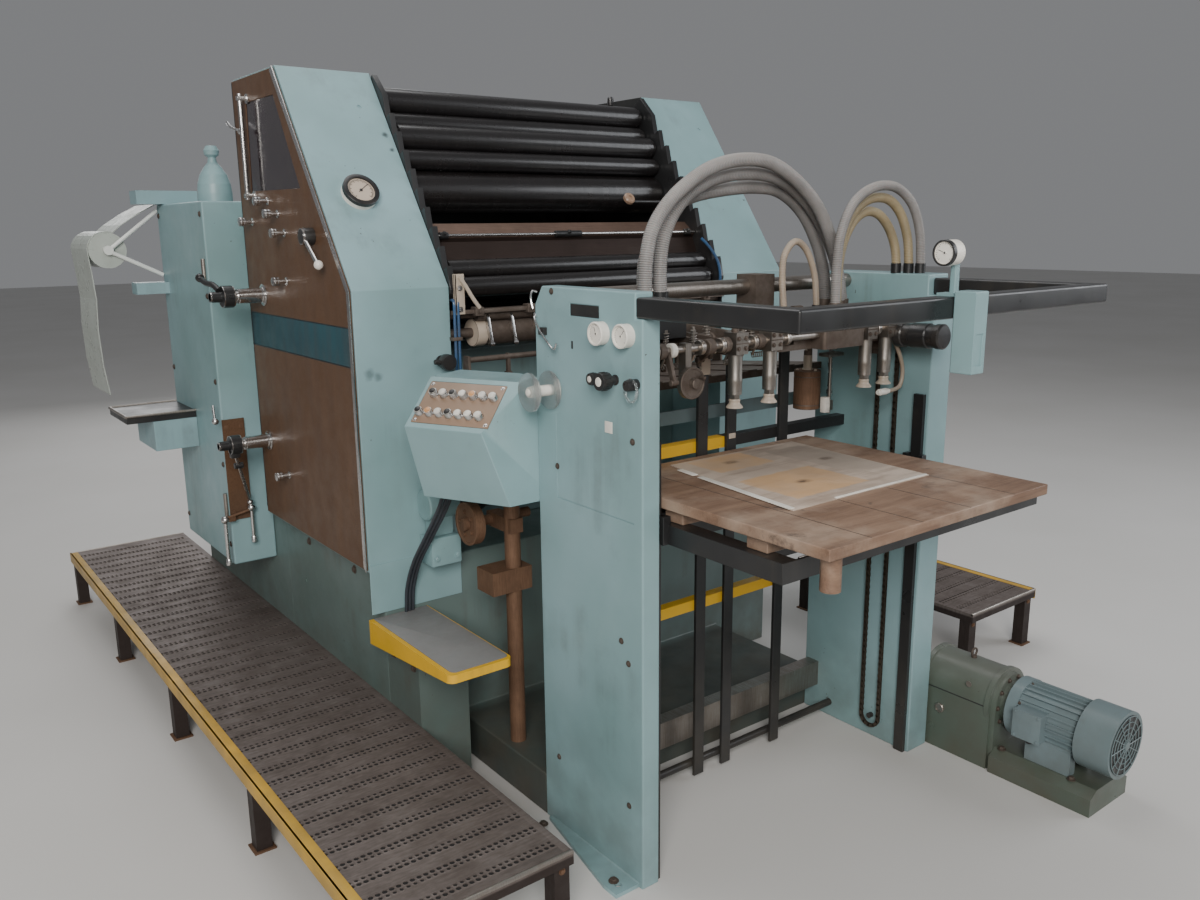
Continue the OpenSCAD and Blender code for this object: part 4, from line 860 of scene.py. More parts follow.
def punched_deck(name, low, high, columns, rows):
    width, length = columns * tile_x, rows * tile_y
    x0 = (low[0] + high[0] - width) / 2
    y0 = (low[1] + high[1] - length) / 2
    corner = (x0, y0, sheet_top)
    values = {"Tile": tile, "Columns": columns, "Rows": rows, "Corner": corner, "Material": tread_steel}
    run_tree(name + "_tread", tile_grid, bpy.data.meshes.new(name), values)
    dark = Shape()
    for row in range(rows * 2):
        y = y0 + row * tile_y / 2
        dark.box((x0, y + 0.004, deck_z + 0.0001), (x0 + width, y + 0.034, deck_z + 0.0003), 0)
    dark.done(name + "_under_tread", shadow.material)
    edge = Shape()
    for a, b in ((low, (x0, high[1])), ((x0 + width, low[1]), high),
                 ((x0, low[1]), (x0 + width, y0)), ((x0, y0 + length), (x0 + width, high[1]))):
        edge.box((*a, deck_z), (*b, sheet_top), 0.0004)
    edge.done(name + "_margin", tread_steel)


punched_deck("walkway", walk_low, walk_high, 27, 21)
punched_deck("low_step", step_low, step_high, 24, 5)
bpy.data.objects.remove(tile)

# %% [markdown]
# A rolled bar closes each end of the footboards, and a painted angle iron runs along their
# outer edge as a warning. The paint has worn off where shoes rub over it. Thin foot plates
# lie under the posts.

# %% Edges of the footboards
worn_yellow = enamel("worn_yellow", (0.56, 0.32, 0.03), 1.0, 2.2, 0.5)


def deck_edges(name, low, high, outer):
    top = deck_z + 0.003
    rim = Shape()
    x0, x1 = (low[0] - 0.003, low[0] + 0.004) if outer < 0 else (high[0] - 0.004, high[0] + 0.003)
    rim.box((x0, low[1], deck_z - 0.036), (x1, high[1], top), 0.0012)
    lip = outer * 0.022
    rim.box((min(x0, x0 - lip), low[1], deck_z + 0.0013), (max(x1, x1 - lip), high[1], top), 0.0008)
    rim.done(name + "_edge_angle", worn_yellow)
    bar = Shape()
    for y in (low[1] + 0.004, high[1] - 0.004):
        bar.rod((low[0], y, deck_z - 0.001), (high[0], y, deck_z - 0.001), 0.0055)
    bar.done(name + "_end_bars", shaft_steel)
    posts = Shape()
    count = math.ceil((high[1] - low[1]) / 0.8)
    for i in range(count + 1):
        y = low[1] + 0.012 + (high[1] - low[1] - 0.064) * i / count
        for x in (low[0] + 0.004, high[0] - 0.044):
            posts.box((x - 0.008, y - 0.008, 0.0), (x + 0.048, y + 0.048, 0.005), 0.001)
            posts.screw((x + 0.02, y - 0.0005, deck_z - 0.045), front, 0.006)
    posts.done(name + "_feet", brown_steel)


deck_edges("walkway", walk_low, walk_high, -1)
deck_edges("low_step", step_low, step_high, 1)

# %% [markdown]
# The operator's high step is a yellow pressed plate. A sheet of grey grit is glued into it,
# a little proud of the rim, and its box leg is bolted to the bed.

# %% Grit sheet and bolts of the high step
step_corner, step_size = (-0.822, -0.8583, 0.480), (0.182, 0.462)


def grit_sheet():
    x0, y0, z = step_corner
    w, l = step_size
    rim, wide, tight, steps = 0.0125, 0.016, 0.003, 6
    x1, y1 = x0 + w - 0.004, y0 + l - 0.002
    corners = [(x0 + rim + wide, y0 + rim + wide, wide), (x1 - wide, y0 + rim + wide, wide),
               (x1 - tight, y1 - tight, tight), (x0 + rim + tight, y1 - tight, tight)]
    outline = []
    for quarter, (cx, cy, radius) in enumerate(corners, 2):
        for i in range(steps + 1):
            a = math.radians(90 * (quarter + i / steps))
            outline.append((cx + radius * math.cos(a), cy + radius * math.sin(a)))
    Shape().prism(outline, z - 0.0015, z + 0.0016, "z", 0.0005).done("step_grit_sheet", grip_sheet)
    bolts = Shape()
    for y in (-0.44, -0.56):
        for z in (0.38, 0.10):
            bolts.screw((-0.772, y, z), left, 0.008, 0.006)
    bolts.done("step_leg_bolts", dusty_casting)


grit_sheet()

# %% [markdown]
# The operator's side carries a speckled brown laminate with a teal stripe let in between
# its upper and lower sheet. The stripe is a thin inlay that stands below the sheets, with a
# dark shadow joint on both of its edges.

# %% Teal stripe and joints of the side panel
panel_x = -0.818
stripe_low, stripe_high = 1.185, 1.294
panel_front, panel_rear = -0.389, 0.389

stripe = Shape()
stripe.box((panel_x + 0.0008, panel_front, stripe_low + 0.0035),
           (panel_x + 0.003, panel_rear, stripe_high - 0.0035), 0.0006)
stripe.done("panel_stripe", teal_stripe)
joints = Shape()
for z in (stripe_low, stripe_high - 0.003):
    joints.box((panel_x + 0.0002, panel_front, z), (panel_x + 0.003, panel_rear, z + 0.003), 0)
joints.box((panel_x - 0.0006, panel_rear - 0.004, 0.64), (panel_x + 0.001, panel_rear + 0.001, 1.99), 0)
joints.done("panel_joints", black_plastic)

# %% [markdown]
# Two setting shafts come out of the panel. Each turns in a bright sleeve; beyond it sits a
# dark cast clamp. The upper one carries an elbow lever, and from the lower one a jointed
# chrome rod runs down to the ball handles beside the delivery housing.

# %% Setting shafts with their levers
upper_y, upper_z = 0.253, 1.351
lower_y, lower_z = 0.310, 0.880
x_clamp = -0.914


def setting_shaft(y, z, radius):
    bright, dark = Shape(), Shape()
    bright.lathe((panel_x, y, z), left, [
        (0, radius + 0.012), (0.004, radius + 0.012), (0.006, radius + 0.003), (0.010, radius + 0.003),
        (0.012, radius + 0.0012), (0.080, radius + 0.0012), (0.0838, radius - 0.002)], 32)
    dark.lathe((x_clamp, y, z), left, [
        (0, radius * 1.36), (0.003, radius * 1.53), (0.031, radius * 1.53), (0.0345, radius * 1.36)], 28)
    dark.lathe((x_clamp - 0.0345, y, z), left, [
        (0, radius * 0.76), (0.030, radius * 0.74), (0.0345, radius * 0.55)], 20)
    dark.screw((x_clamp - 0.017, y - radius * 1.45, z), front, 0.005, 0.006)
    return bright, dark


bright, dark = setting_shaft(upper_y, upper_z, 0.022)
dark.bent([(-0.955, upper_y, upper_z + 0.020), (-0.962, upper_y + 0.03, upper_z + 0.036),
           (-0.968, upper_y + 0.075, upper_z + 0.040), (-0.972, upper_y + 0.115, upper_z + 0.052)], 0.009, 12)
dark.ball((-0.972, upper_y + 0.120, upper_z + 0.054), 0.014)
bright.done("upper_sleeve", bright_chrome)
dark.done("upper_clamp", black_enamel)

bright, dark = setting_shaft(lower_y, lower_z, 0.020)
rod_top, rod_end = Vector((-0.934, lower_y, lower_z - 0.028)), Vector((-0.857, 0.446, 0.648))
joint = rod_top.lerp(rod_end, 0.24)
bright.rod(rod_top, rod_end, 0.0052)
bright.ball(rod_end, 0.011)
dark.box((-0.9485, lower_y - 0.012, lower_z - 0.042), (-0.9195, lower_y + 0.012, lower_z - 0.012), 0.003)
dark.rod(joint - Vector((0.014, 0, 0)), joint + Vector((0.014, 0, 0)), 0.010)
bright.done("lower_sleeve", bright_chrome)
dark.done("lower_clamp", black_enamel)

# %% [markdown]
# The small push knobs are turned pieces: a thin neck, a grooved grip and a domed end. One
# profile is used six times, slightly larger than the plain cylinders that it covers.

# %% Push knobs and the window's rod
def push_knob(shape, y, z):
    shape.lathe((panel_x, y, z), left, [
        (0, 0.012), (0.003, 0.012), (0.004, 0.0066), (0.0245, 0.0066), (0.0255, 0.0118), (0.0275, 0.0134),
        (0.0315, 0.0134), (0.0325, 0.0131), (0.0335, 0.0134), (0.0405, 0.0134), (0.0438, 0.0118),
        (0.0452, 0.006)], 24)


knobs = Shape()
knob_spots = [(0.150, 1.632), (0.076, 1.594), (0.297, 1.573), (0.032, 1.539), (0.045, 1.401), (0.151, 0.793)]
for y, z in knob_spots:
    push_knob(knobs, y, z)
knobs.done("push_knobs", bright_chrome)

rod_y, rod_x = 0.262, panel_x - 0.022
grab = Shape()
grab.rod((rod_x, rod_y, 1.638), (rod_x, rod_y, 1.945), 0.0066)
for z in (1.644, 1.926):
    grab.box((rod_x - 0.0085, rod_y - 0.0085, z - 0.0005),
             (panel_x - 0.0002, rod_y + 0.0085, z + 0.0125), 0.002)
    grab.lathe((panel_x, rod_y, z + 0.006), left, [(0, 0.015), (0.0025, 0.015), (0.004, 0.011)], 20)
grab.bent([(rod_x, rod_y + 0.010, 1.840), (rod_x - 0.012, rod_y + 0.055, 1.852),
           (rod_x - 0.010, rod_y + 0.105, 1.872)], 0.004)
grab.ball((rod_x, rod_y + 0.008, 1.838), 0.010)
grab.done("window_rod", bright_chrome)

# %% [markdown]
# The impression lever turns on the panel. Its parts ride with the lever's own body, so they
# follow the joint: a black boss, a chrome rod and a worn pale ball.

# %% Impression lever
lever_hub = Vector((panel_x, -0.175, 1.530))
lever_angle = math.radians(51)
lever_along = Vector((0, -math.sin(lever_angle), -math.cos(lever_angle)))
rod_start = Vector((panel_x - 0.026, lever_hub.y, lever_hub.z))
boss = Shape()
boss.lathe(lever_hub - Vector((0.0006, 0, 0)), left, [
    (0, 0.0235), (0.026, 0.0235), (0.030, 0.0215), (0.0345, 0.0195), (0.0352, 0.006)], 32)
boss.done("impression_lever_boss", black_plastic, "impression_lever_body")
rod = Shape()
rod.rod(rod_start + lever_along * 0.018, rod_start + lever_along * 0.114, 0.0066)
rod.done("impression_lever_rod", bright_chrome, "impression_lever_body")
ball = Shape()
ball.ball(rod_start + lever_along * 0.118, 0.0128, 20)
ball.done("impression_lever_ball", button_white, "impression_lever_body")

# %% [markdown]
# Beside the delivery housing hangs a brown plate with two ball handles. A rusty tie joins
# them, and a small hook lever stands above. The side tray has a rolled steel edge.

# %% Ball handles, tie and tray edge
handles, rusty, handle_y = Shape(), Shape(), 0.448
for x, z_ball, z_end in ((-0.944, 0.600, 0.440), (-0.854, 0.628, 0.505)):
    handles.rod((x, handle_y, z_ball - 0.01), (x, handle_y, z_end), 0.0066)
    handles.ball((x, handle_y, z_ball), 0.0137, 20)
    handles.lathe((x, handle_y, z_end), up, [
        (0, 0.0075), (0.002, 0.0095), (0.02, 0.0095), (0.024, 0.007)], 16)
handles.rod((-0.941, 0.474, 0.984), (-0.950, 0.436, 0.944), 0.0048)
handles.ball((-0.950, 0.432, 0.940), 0.0115)
handles.done("ball_handles", bright_chrome)
rusty.rod((-0.944, handle_y, 0.604), (-0.854, handle_y, 0.622), 0.0045)
for z in (0.615, 0.910):
    for x in (-0.908, -0.858):
        rusty.screw((x, 0.464, z), front, 0.006)
rusty.done("handle_tie", brown_steel)
edge = Shape()
(x0, y0), (x1, y1), z = (-1.150, 0.755), (-0.920, 1.005), 0.930
for a, b in (((x0, y0, z), (x1, y0, z)), ((x0, y0, z), (x0, y1, z)), ((x0, y1, z), (x1, y1, z))):
    edge.rod(a, b, 0.005)
edge.done("tray_edge", shaft_steel)

# %% [markdown]
# Rows of screws tell how the housings, the cabinets and the bed are put together. Short
# loops set them along the edges of each cover.

# %% Screws of the covers
housing_x, cabinet_x, bed_x = 0.9202, 0.8122, 0.7722
screws = Shape()
for z in (0.50, 0.78, 1.06, 1.34, 1.60):
    for y in (0.492, 0.983):
        screws.screw((-housing_x, y, z), left, 0.007, 0.0035, "round")
        screws.screw((housing_x, y, z), right, 0.007, 0.0035, "round")
cabinet_spots = [(y, z) for z in (0.68, 0.95, 1.22) for y in (-0.345, 0.375)]
for y, z in cabinet_spots + [(0.05, 1.93), (0.375, 1.93), (-0.13, 1.72), (0.375, 1.58)]:
    screws.screw((cabinet_x, y, z), right, 0.007, 0.0035, "round")
for y in (-0.20, 0.15, 0.60, 1.05):
    for side in (-1, 1):
        screws.screw((side * bed_x, y, 0.565), (side, 0, 0), 0.009, 0.005)
screws.done("cover_screws", dusty_casting)

# %% [markdown]
# Sizes on the feeder were taken in millimetres from its front edge, so the cells for the
# feeder place their parts with a small function that turns them into metres.

# %% Feeder frame
def feeder(x, y, z):
    return Vector((x / 1000, y / 1000 + feeder_y, z / 1000))


plate_x = -550
print("operator's plate stands at", tuple(round(v, 3) for v in feeder(plate_x, 0, 1413)))

# %% [markdown]
# A dial is a turned case, a pale face, a ring of ticks and a needle. The face is a thin disc
# and the ticks are fine raised bars, placed by angle. The same function makes the two
# vacuum gauges, the one on the guard rail and the big black one on the slanted front.

# %% Dials
def dial(name, centre, facing, up, radius, case, face, turn=-0.6, depth=0.006, ticks=24, inner=0.88):
    facing, up = Vector(facing).normalized(), Vector(up).normalized()
    side = up.cross(facing)
    rim, plate, marks = Shape(), Shape(), Shape()
    rim.lathe(centre - facing * depth, facing, [
        (0, radius * 1.02), (depth + 0.0015, radius * 1.02), (depth + 0.003, radius * 0.97),
        (depth + 0.003, radius * inner), (depth * 0.5, radius * (inner - 0.02))], 40)
    face_radius, tick_end = radius * (inner - 0.01), radius * (inner - 0.08)
    plate.lathe(centre - facing * depth * 0.55, facing, [(0, face_radius), (depth * 0.3, face_radius)], 40)
    ahead = centre - facing * depth * 0.22
    for k in range(ticks + 1):
        a = math.radians(-135 + 270 * k / ticks)
        ray = up * math.cos(a) + side * math.sin(a)
        length = radius * (0.16 if k % 4 == 0 else 0.09)
        marks.rod(ahead + ray * (tick_end - length), ahead + ray * tick_end, radius * 0.014, 6)
    ray = up * math.cos(turn) + side * math.sin(turn)
    marks.rod(ahead - ray * radius * 0.18, ahead + ray * radius * 0.62, radius * 0.022, 6)
    marks.lathe(ahead - facing * 0.001, facing, [
        (0, radius * 0.09), (0.002, radius * 0.09), (0.003, radius * 0.05)], 16)
    rim.done(name + "_case", case)
    plate.done(name + "_face", face)
    marks.done(name + "_marks", black_plastic)


dial("gauge_rear", feeder(plate_x - 20.5, 138, 1319), left, up, 0.026, dial_white, dial_white, -0.4)
dial("gauge_front", feeder(plate_x - 20.5, 50, 1320), left, up, 0.026, dial_white, dial_white, 0.7)
dial("gauge_rail", feeder(-98.5, -407, 1490), left, up, 0.026, black_plastic, dial_white, -1.2)
slope_up, slope_out = Vector((0, 0.576, 0.817)), Vector((0, -0.817, 0.576))
gauge_foot = Vector((-0.696, -0.396, 1.390)) + slope_up * 0.306
dial("gauge_slant", gauge_foot + slope_out * 0.0245, slope_out, slope_up, 0.050, black_plastic, beige_enamel,
     0.9, 0.010, 40, 0.78)

# %% [markdown]
# The upright plate at the front of the feeder holds everything the operator reads and turns:
# a label recess, air valve knobs, wire hooks, a switch slot and a small blank tag.

# %% Small parts of the operator's plate
x = plate_x
recess = Shape()
recess.box(feeder(x + 1.5, 152, 1350), feeder(x + 2.4, 260, 1377), 0)
recess.box(feeder(x - 0.3, 250, 1274), feeder(x + 0.5, 257, 1292), 0.0002)
recess.done("plate_recesses", black_plastic)
tag = Shape()
tag.box(feeder(x - 1.6, 105, 1097), feeder(x + 0.2, 131, 1123), 0.0005)
tag.done("plate_tag", dial_white)
hook = Shape()
hook.bent([feeder(x - 1, 395, 1339), feeder(x - 10, 392, 1336), feeder(x - 14, 360, 1305),
           feeder(x - 13, 325, 1276), feeder(x - 16, 303, 1270), feeder(x - 16, 294, 1284)], 0.0028)
hook.bent([feeder(x - 1, 392, 1398), feeder(x - 12, 396, 1400), feeder(x - 22, 388, 1384),
           feeder(x - 22, 380, 1360)], 0.0024)
hook.done("plate_hooks", bright_chrome)
bolts = Shape()
for y, z in ((333, 1402), (34, 1090), (322, 983), (77, 612), (51, 564), (51, 200), (340, 200)):
    bolts.screw(feeder(x, y, z), left, 0.0055, 0.003, "round")
for y, z in ((40, 1330), (372, 1340), (372, 900), (372, 300), (40, 620), (40, 160)):
    bolts.screw(feeder(570, y, z), right, 0.007, 0.0045)
for y in (60, 360):
    bolts.screw(feeder(x - 42, y, 10), up, 0.009, 0.006)
    bolts.screw(feeder(612, y, 10), up, 0.009, 0.006)
bolts.done("feeder_plate_bolts", dusty_casting)

# %% Valve knobs
valves, caps = Shape(), Shape()


def valve_knob(y, z, radius, length):
    valves.lathe(feeder(x, y, z), left, [
        (0, radius * 0.62), (0.003, radius * 0.62), (0.004, radius * 0.47), (length * 0.44, radius * 0.47),
        (length * 0.46, radius * 0.95), (length * 0.52, radius * 1.03), (length * 0.94, radius * 1.03),
        (length, radius * 0.93), (length + 0.0006, radius * 0.3)], 28)
    for a in turns(14):
        place = feeder(x, y, z) + radius * Vector((0, math.cos(a), math.sin(a)))
        near_end, far_end = Vector((-length * 0.56, 0, 0)), Vector((-length * 0.9, 0, 0))
        valves.rod(place + near_end, place + far_end, radius * 0.11, 6)
    caps.lathe(feeder(x, y, z) - Vector((length + 0.0003, 0, 0)), left, [
        (0, radius * 0.55), (0.0008, radius * 0.52), (0.0016, radius * 0.3)], 20)


valve_knob(143, 1219, 0.013, 0.034)
valve_knob(92, 1220, 0.019, 0.048)
valves.lathe(feeder(x, 20, 1218), left, [(0, 0.0125), (0.026, 0.0125), (0.0305, 0.0105)], 20)
valves.done("valve_knobs", black_plastic)
caps.done("valve_knob_caps", button_white)
ring = Shape()
ring.bent([feeder(x - 16, 20 + 21 * math.sin(a), 1206 + 24 * math.cos(a))
           for a in turns(16)], 0.0032, 8, 2)
ring.done("valve_ring", clear_plastic)

# %% [markdown]
# The clear setting wheel is two thin discs on a hub. It is made again with thin rims, so
# that light catches its edges as it does on real acrylic.

# %% Clear setting wheel
wheel_y, wheel_z = 340, 1168
wheel = Shape()
for x0 in (-66.5, -9.5):
    wheel.lathe(feeder(x + x0, wheel_y, wheel_z), right, [
        (0, 0.044), (0.0008, 0.0466), (0.0052, 0.0466), (0.0060, 0.044)], 48)
discs = wheel.done("setting_wheel_discs", clear_plastic)
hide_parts("setting_wheel")
hub = Shape()
hub.lathe(feeder(x - 66, wheel_y, wheel_z), right, [
    (0, 0.0125), (0.010, 0.0132), (0.058, 0.0132), (0.0655, 0.0126)], 24)
hub.lathe(feeder(x - 71, wheel_y, wheel_z), right, [(0, 0.006), (0.001, 0.008), (0.005, 0.008)], 16)
hub.done("setting_wheel_hub", dial_white)

# %% [markdown]
# The control desk is a turned box with a beige panel. Two rows of seven push buttons stand
# in chrome bezels. Most are milky white, some are dark, and two are amber lamps.

# %% Control desk
desk_turn = Matrix.Rotation(math.radians(26.6), 4, "Z")
panel_rise, panel_run = 0.108, 0.120
slope, slope_length = math.atan2(panel_rise, panel_run), math.hypot(panel_rise, panel_run)
on_desk = (Matrix.Translation((0, feeder_y, 0)) @ desk_turn @ Matrix.Translation((-0.455, 0, 1.072))
           @ Matrix.Rotation(-slope, 4, "Y"))
cover = Shape(on_desk)
cover.box((0.0155, 0.6695, -0.002), (slope_length - 0.0155, 0.8925, 0.0006), 0.0004)
cover.done("desk_panel", panel_beige)
bezels, tops, lamps, dark_tops = Shape(on_desk), Shape(on_desk), Shape(on_desk), Shape(on_desk)
special = {spot: dark_tops for spot in ((0, 3), (0, 6), (1, 4), (1, 6))}
special.update({(0, 5): lamps, (1, 2): lamps})
for row, (along, first) in enumerate(((0.045, 0.705), (0.105, 0.690))):
    for i in range(7):
        place = Vector((along, first + i * 0.029, 0))
        bezels.lathe(place, up, [
            (0, 0.0125), (0.002, 0.0125), (0.004, 0.0112), (0.0125, 0.0108), (0.0140, 0.0098),
            (0.0140, 0.0090)], 24)
        top = special.get((row, i), tops)
        top.lathe(place, up, [(0.010, 0.0091), (0.0150, 0.0091), (0.0170, 0.0080), (0.0182, 0.0045)], 20)
bezels.done("button_bezels", bright_chrome)
tops.done("button_tops", button_white)
lamps.done("button_lamps", lamp_amber)
dark_tops.done("button_dark_tops", black_plastic)
corner = Shape(on_desk)
for along in (0.024, slope_length - 0.024):
    for y in (0.679, 0.884):
        corner.screw((along, y, 0.0004), up, 0.0035, 0.002, "round")
corner.done("desk_screws", bright_chrome)

# %% [markdown]
# The knob on the upright front of the operator's cabinet has a flattened black grip with a
# short pointer, and two oil pipes in blue paint run down beside the desk.

# %% Cabinet knob and oil pipes
grip = Shape()
spot = Vector((-0.560, -0.396, 1.186))
grip.lathe(spot, front, [
    (0, 0.016), (0.004, 0.016), (0.005, 0.0095), (0.0235, 0.0095), (0.0240, 0.0205), (0.0270, 0.0222),
    (0.0480, 0.0222), (0.0526, 0.0190), (0.0530, 0.006)], 28)
grip.rod(spot + Vector((-0.016, -0.038, 0.0)), spot + Vector((-0.040, -0.038, 0.004)), 0.007)
grip.done("cabinet_knob", black_plastic)
pipes = Shape()
for x_pipe, foot in ((-0.5180, 1.05), (-0.5060, 1.03)):
    pipes.bent([(x_pipe, -0.394, 1.352), (x_pipe, -0.408, 1.345), (x_pipe, -0.409, 1.28),
                (x_pipe, -0.409, 1.15), (x_pipe, -0.409, foot + 0.02), (x_pipe, -0.394, foot)], 0.0042, 10)
pipes.done("oil_pipes", blue_tube)
clips = Shape()
for z in (1.10, 1.24):
    clips.box((-0.530, -0.4150, z), (-0.498, -0.3962, z + 0.010), 0.001)
clips.done("pipe_clips", dusty_casting)

# %% [markdown]
# The suction head is the busiest place of the machine. Two shafts run across the feeder and
# carry dozens of small castings: collars, cam levers, adjusting screws, springs and the four
# suckers. One function makes each kind, and short lists of places put them along the shafts.

# %% Shaft collars and cam levers
front_y, front_z = -1.180, 1.272
rear_y, rear_z = -0.900, 1.290


def collar(shape, x, y, z, radius, width=0.012):
    shape.drum((x, y, z), right, width, radius, 0.001, 22)
    shape.screw((x + width / 2, y - radius * 0.7, z + radius * 0.7), (0, -1, 1), 0.0028, 0.003)


def cam_lever(shape, x, width, drop=0.0):
    """A flat lever between the two shafts, with a boss round each of them."""
    low = front_z - 0.012 - drop
    side = [(front_y, low), (rear_y, rear_z - 0.011), (rear_y, rear_z + 0.010), (front_y, front_z + 0.013)]
    shape.prism(side, x, x + width, "x", 0.0015)
    for y, z, radius in ((front_y, front_z, 0.0185), (rear_y, rear_z, 0.0205)):
        shape.drum((x - 0.004, y, z), right, width + 0.008, radius, 0.002, 24)


def hanging_link(shape, x, y, z, length, turn, width=0.009):
    """A small link that hangs from a shaft and ends in a pin."""
    end = Vector((x, y + length * math.sin(turn), z - length * math.cos(turn)))
    side = Vector((0, math.cos(turn), math.sin(turn))) * 0.0078
    top = Vector((x, y, z))
    ring = [top - side, top + side, end + side * 0.8, end - side * 0.8]
    rings = [[p + Vector((d, 0, 0)) for p in ring] for d in (-width / 2, width / 2)]
    shape.soften(shape.solid(rings), 0.0012)
    shape.rod(end - Vector((0.011, 0, 0)), end + Vector((0.011, 0, 0)), 0.0068, 12)


castings, steel = Shape(), Shape()
for x in (-0.452, -0.312, -0.246, -0.139, -0.022, 0.335, 0.428):
    collar(steel, x, front_y, front_z, 0.0175)
for x, width, drop in ((-0.432, 0.010, 0.006), (-0.285, 0.014, 0.0), (-0.228, 0.008, 0.010),
                       (-0.118, 0.012, 0.004), (0.438, 0.010, 0.0)):
    cam_lever(castings, x, width, drop)
hanging = ((-0.470, front_y, 0.062, 0.5), (-0.408, front_y, 0.074, -0.35), (-0.262, front_y, 0.060, 0.9),
           (-0.150, rear_y, 0.075, -0.5), (-0.098, front_y, 0.052, 1.1), (-0.045, rear_y, 0.070, -0.8),
           (-0.322, rear_y, 0.080, -0.3), (-0.205, rear_y, 0.066, 0.2), (0.315, rear_y, 0.072, -0.4))
for x, y, length, turn in hanging:
    hanging_link(castings, x, y, front_z if y == front_y else rear_z, length, turn)
castings.done("head_levers", dusty_casting)

# %% Adjusting screws, springs and pale rollers
def spring(shape, start, end, radius, coils, wire=0.0012):
    start, end = Vector(start), Vector(end)
    axis = (end - start).normalized()
    side = axis.orthogonal().normalized()
    other = axis.cross(side)
    steps, points = 7, []
    for k in range(coils * steps + 1):
        a = 2 * math.pi * k / steps
        middle = start.lerp(end, k / (coils * steps))
        points.append(middle + radius * (side * math.cos(a) + other * math.sin(a)))
    shape.bent(points, wire, 5, 1)


screw_spots = ((-0.440, -1.135), (-0.352, -1.110), (-0.300, -1.150), (-0.215, -1.105), (-0.125, -1.140),
               (-0.055, -1.100))
for x, y in screw_spots:
    steel.rod((x, y, 1.238), (x, y, 1.318), 0.0042, 10)
    steel.screw((x, y, 1.302), up, 0.0075, 0.007)
    steel.screw((x, y, 1.252), down, 0.0075, 0.006)
    spring(steel, (x, y, 1.258), (x, y, 1.298), 0.0082, 7)
for x0, x1, z in ((-0.405, -0.315, 1.232), (-0.205, -0.150, 1.226), (-0.110, -0.035, 1.236)):
    spring(steel, (x0, front_y + 0.024, z), (x1, front_y + 0.024, z), 0.0062, 11)
    for x in (x0, x1):
        steel.rod((x, front_y + 0.024, z), (x, front_y + 0.010, z + 0.024), 0.0030, 8)
steel.rod((-0.4995, -1.060, 1.247), (-0.022, -1.060, 1.247), 0.0065)
steel.done("head_screws_and_springs", shaft_steel)
rollers = Shape()
for x, y, z, radius in ((-0.4015, front_y, 1.272, 0.0165), (-0.199, front_y, 1.272, 0.0165),
                        (-0.335, -1.060, 1.247, 0.0135), (-0.160, -1.060, 1.247, 0.0135)):
    rollers.drum((x, y, z), right, 0.015, radius, 0.001, 20)
rollers.done("head_pale_rollers", dial_white)

# %% [markdown]
# Each sucker is a bright tube in a split clamp. A hexagon nut holds the rubber cup, whose
# lip flares like the real part. The hand disc of the side blast gets a scale of small dots.

# %% Suckers and hand disc
tubes, cups, clamps = Shape(), Shape(), Shape()
for x in (-0.190, -0.070, 0.300, 0.385):
    tubes.lathe((x, front_y, 1.1555), up, [
        (0, 0.0150), (0.002, 0.0174), (0.022, 0.0174), (0.024, 0.0180), (0.032, 0.0180), (0.034, 0.0174),
        (0.0900, 0.0174), (0.0915, 0.0160)], 24)
    tubes.lathe((x, front_y, 1.1395), up, [(0, 0.0126), (0.001, 0.0137), (0.012, 0.0137), (0.013, 0.0126)], 6)
    cups.lathe((x, front_y, 1.1175), up, [
        (0, 0.0206), (0.0022, 0.0204), (0.0070, 0.0165), (0.0100, 0.0137), (0.0150, 0.0130), (0.0180, 0.0142),
        (0.0210, 0.0130)], 26)
    for z in (1.262, 1.286):
        for shift in (-0.012, 0.012):
            clamps.screw((x + shift, front_y - 0.0232, z), front, 0.0042, 0.0035)
    clamps.box((x - 0.0203, front_y - 0.0236, 1.2725), (x + 0.0203, front_y - 0.0228, 1.2755), 0)
    clamps.lathe((x, front_y + 0.002, 1.300), up, [
        (0, 0.0090), (0.008, 0.0090), (0.009, 0.006), (0.016, 0.006), (0.017, 0.0075), (0.022, 0.0060)], 16)
tubes.done("sucker_tubes", upright_steel)
cups.done("sucker_cups", beige_enamel)
clamps.done("sucker_clamps", dusty_casting)
disc_x, disc_z = -0.352, 1.196
disc = Shape()
disc.lathe((disc_x, -1.206, disc_z), front, [
    (0, 0.0374), (0.0012, 0.0374), (0.0022, 0.0362), (0.0022, 0.0330), (0.0008, 0.0320)], 44)
disc.lathe((disc_x, -1.216, disc_z), front, [(0, 0.0122), (0.004, 0.0122), (0.0055, 0.0105)], 24)
for k in range(10):
    a = math.radians(20 + k * 24)
    spot = Vector((disc_x + 0.025 * math.cos(a), -1.2066, disc_z + 0.025 * math.sin(a)))
    disc.lathe(spot, front, [(0, 0.0022), (0.0008, 0.0022)], 10)
disc.rod((disc_x + 0.022, -1.208, disc_z + 0.012), (disc_x + 0.022, -1.224, disc_z + 0.012), 0.0045)
disc.done("blast_disc", dusty_casting)

# %% [markdown]
# Under the head hang the brown motor of the pile control and the bright feeler rod beside
# it. A beige blast tube curls down to its nozzle in front of the drive-side suckers, and
# pale pads sit on the black guide bars.

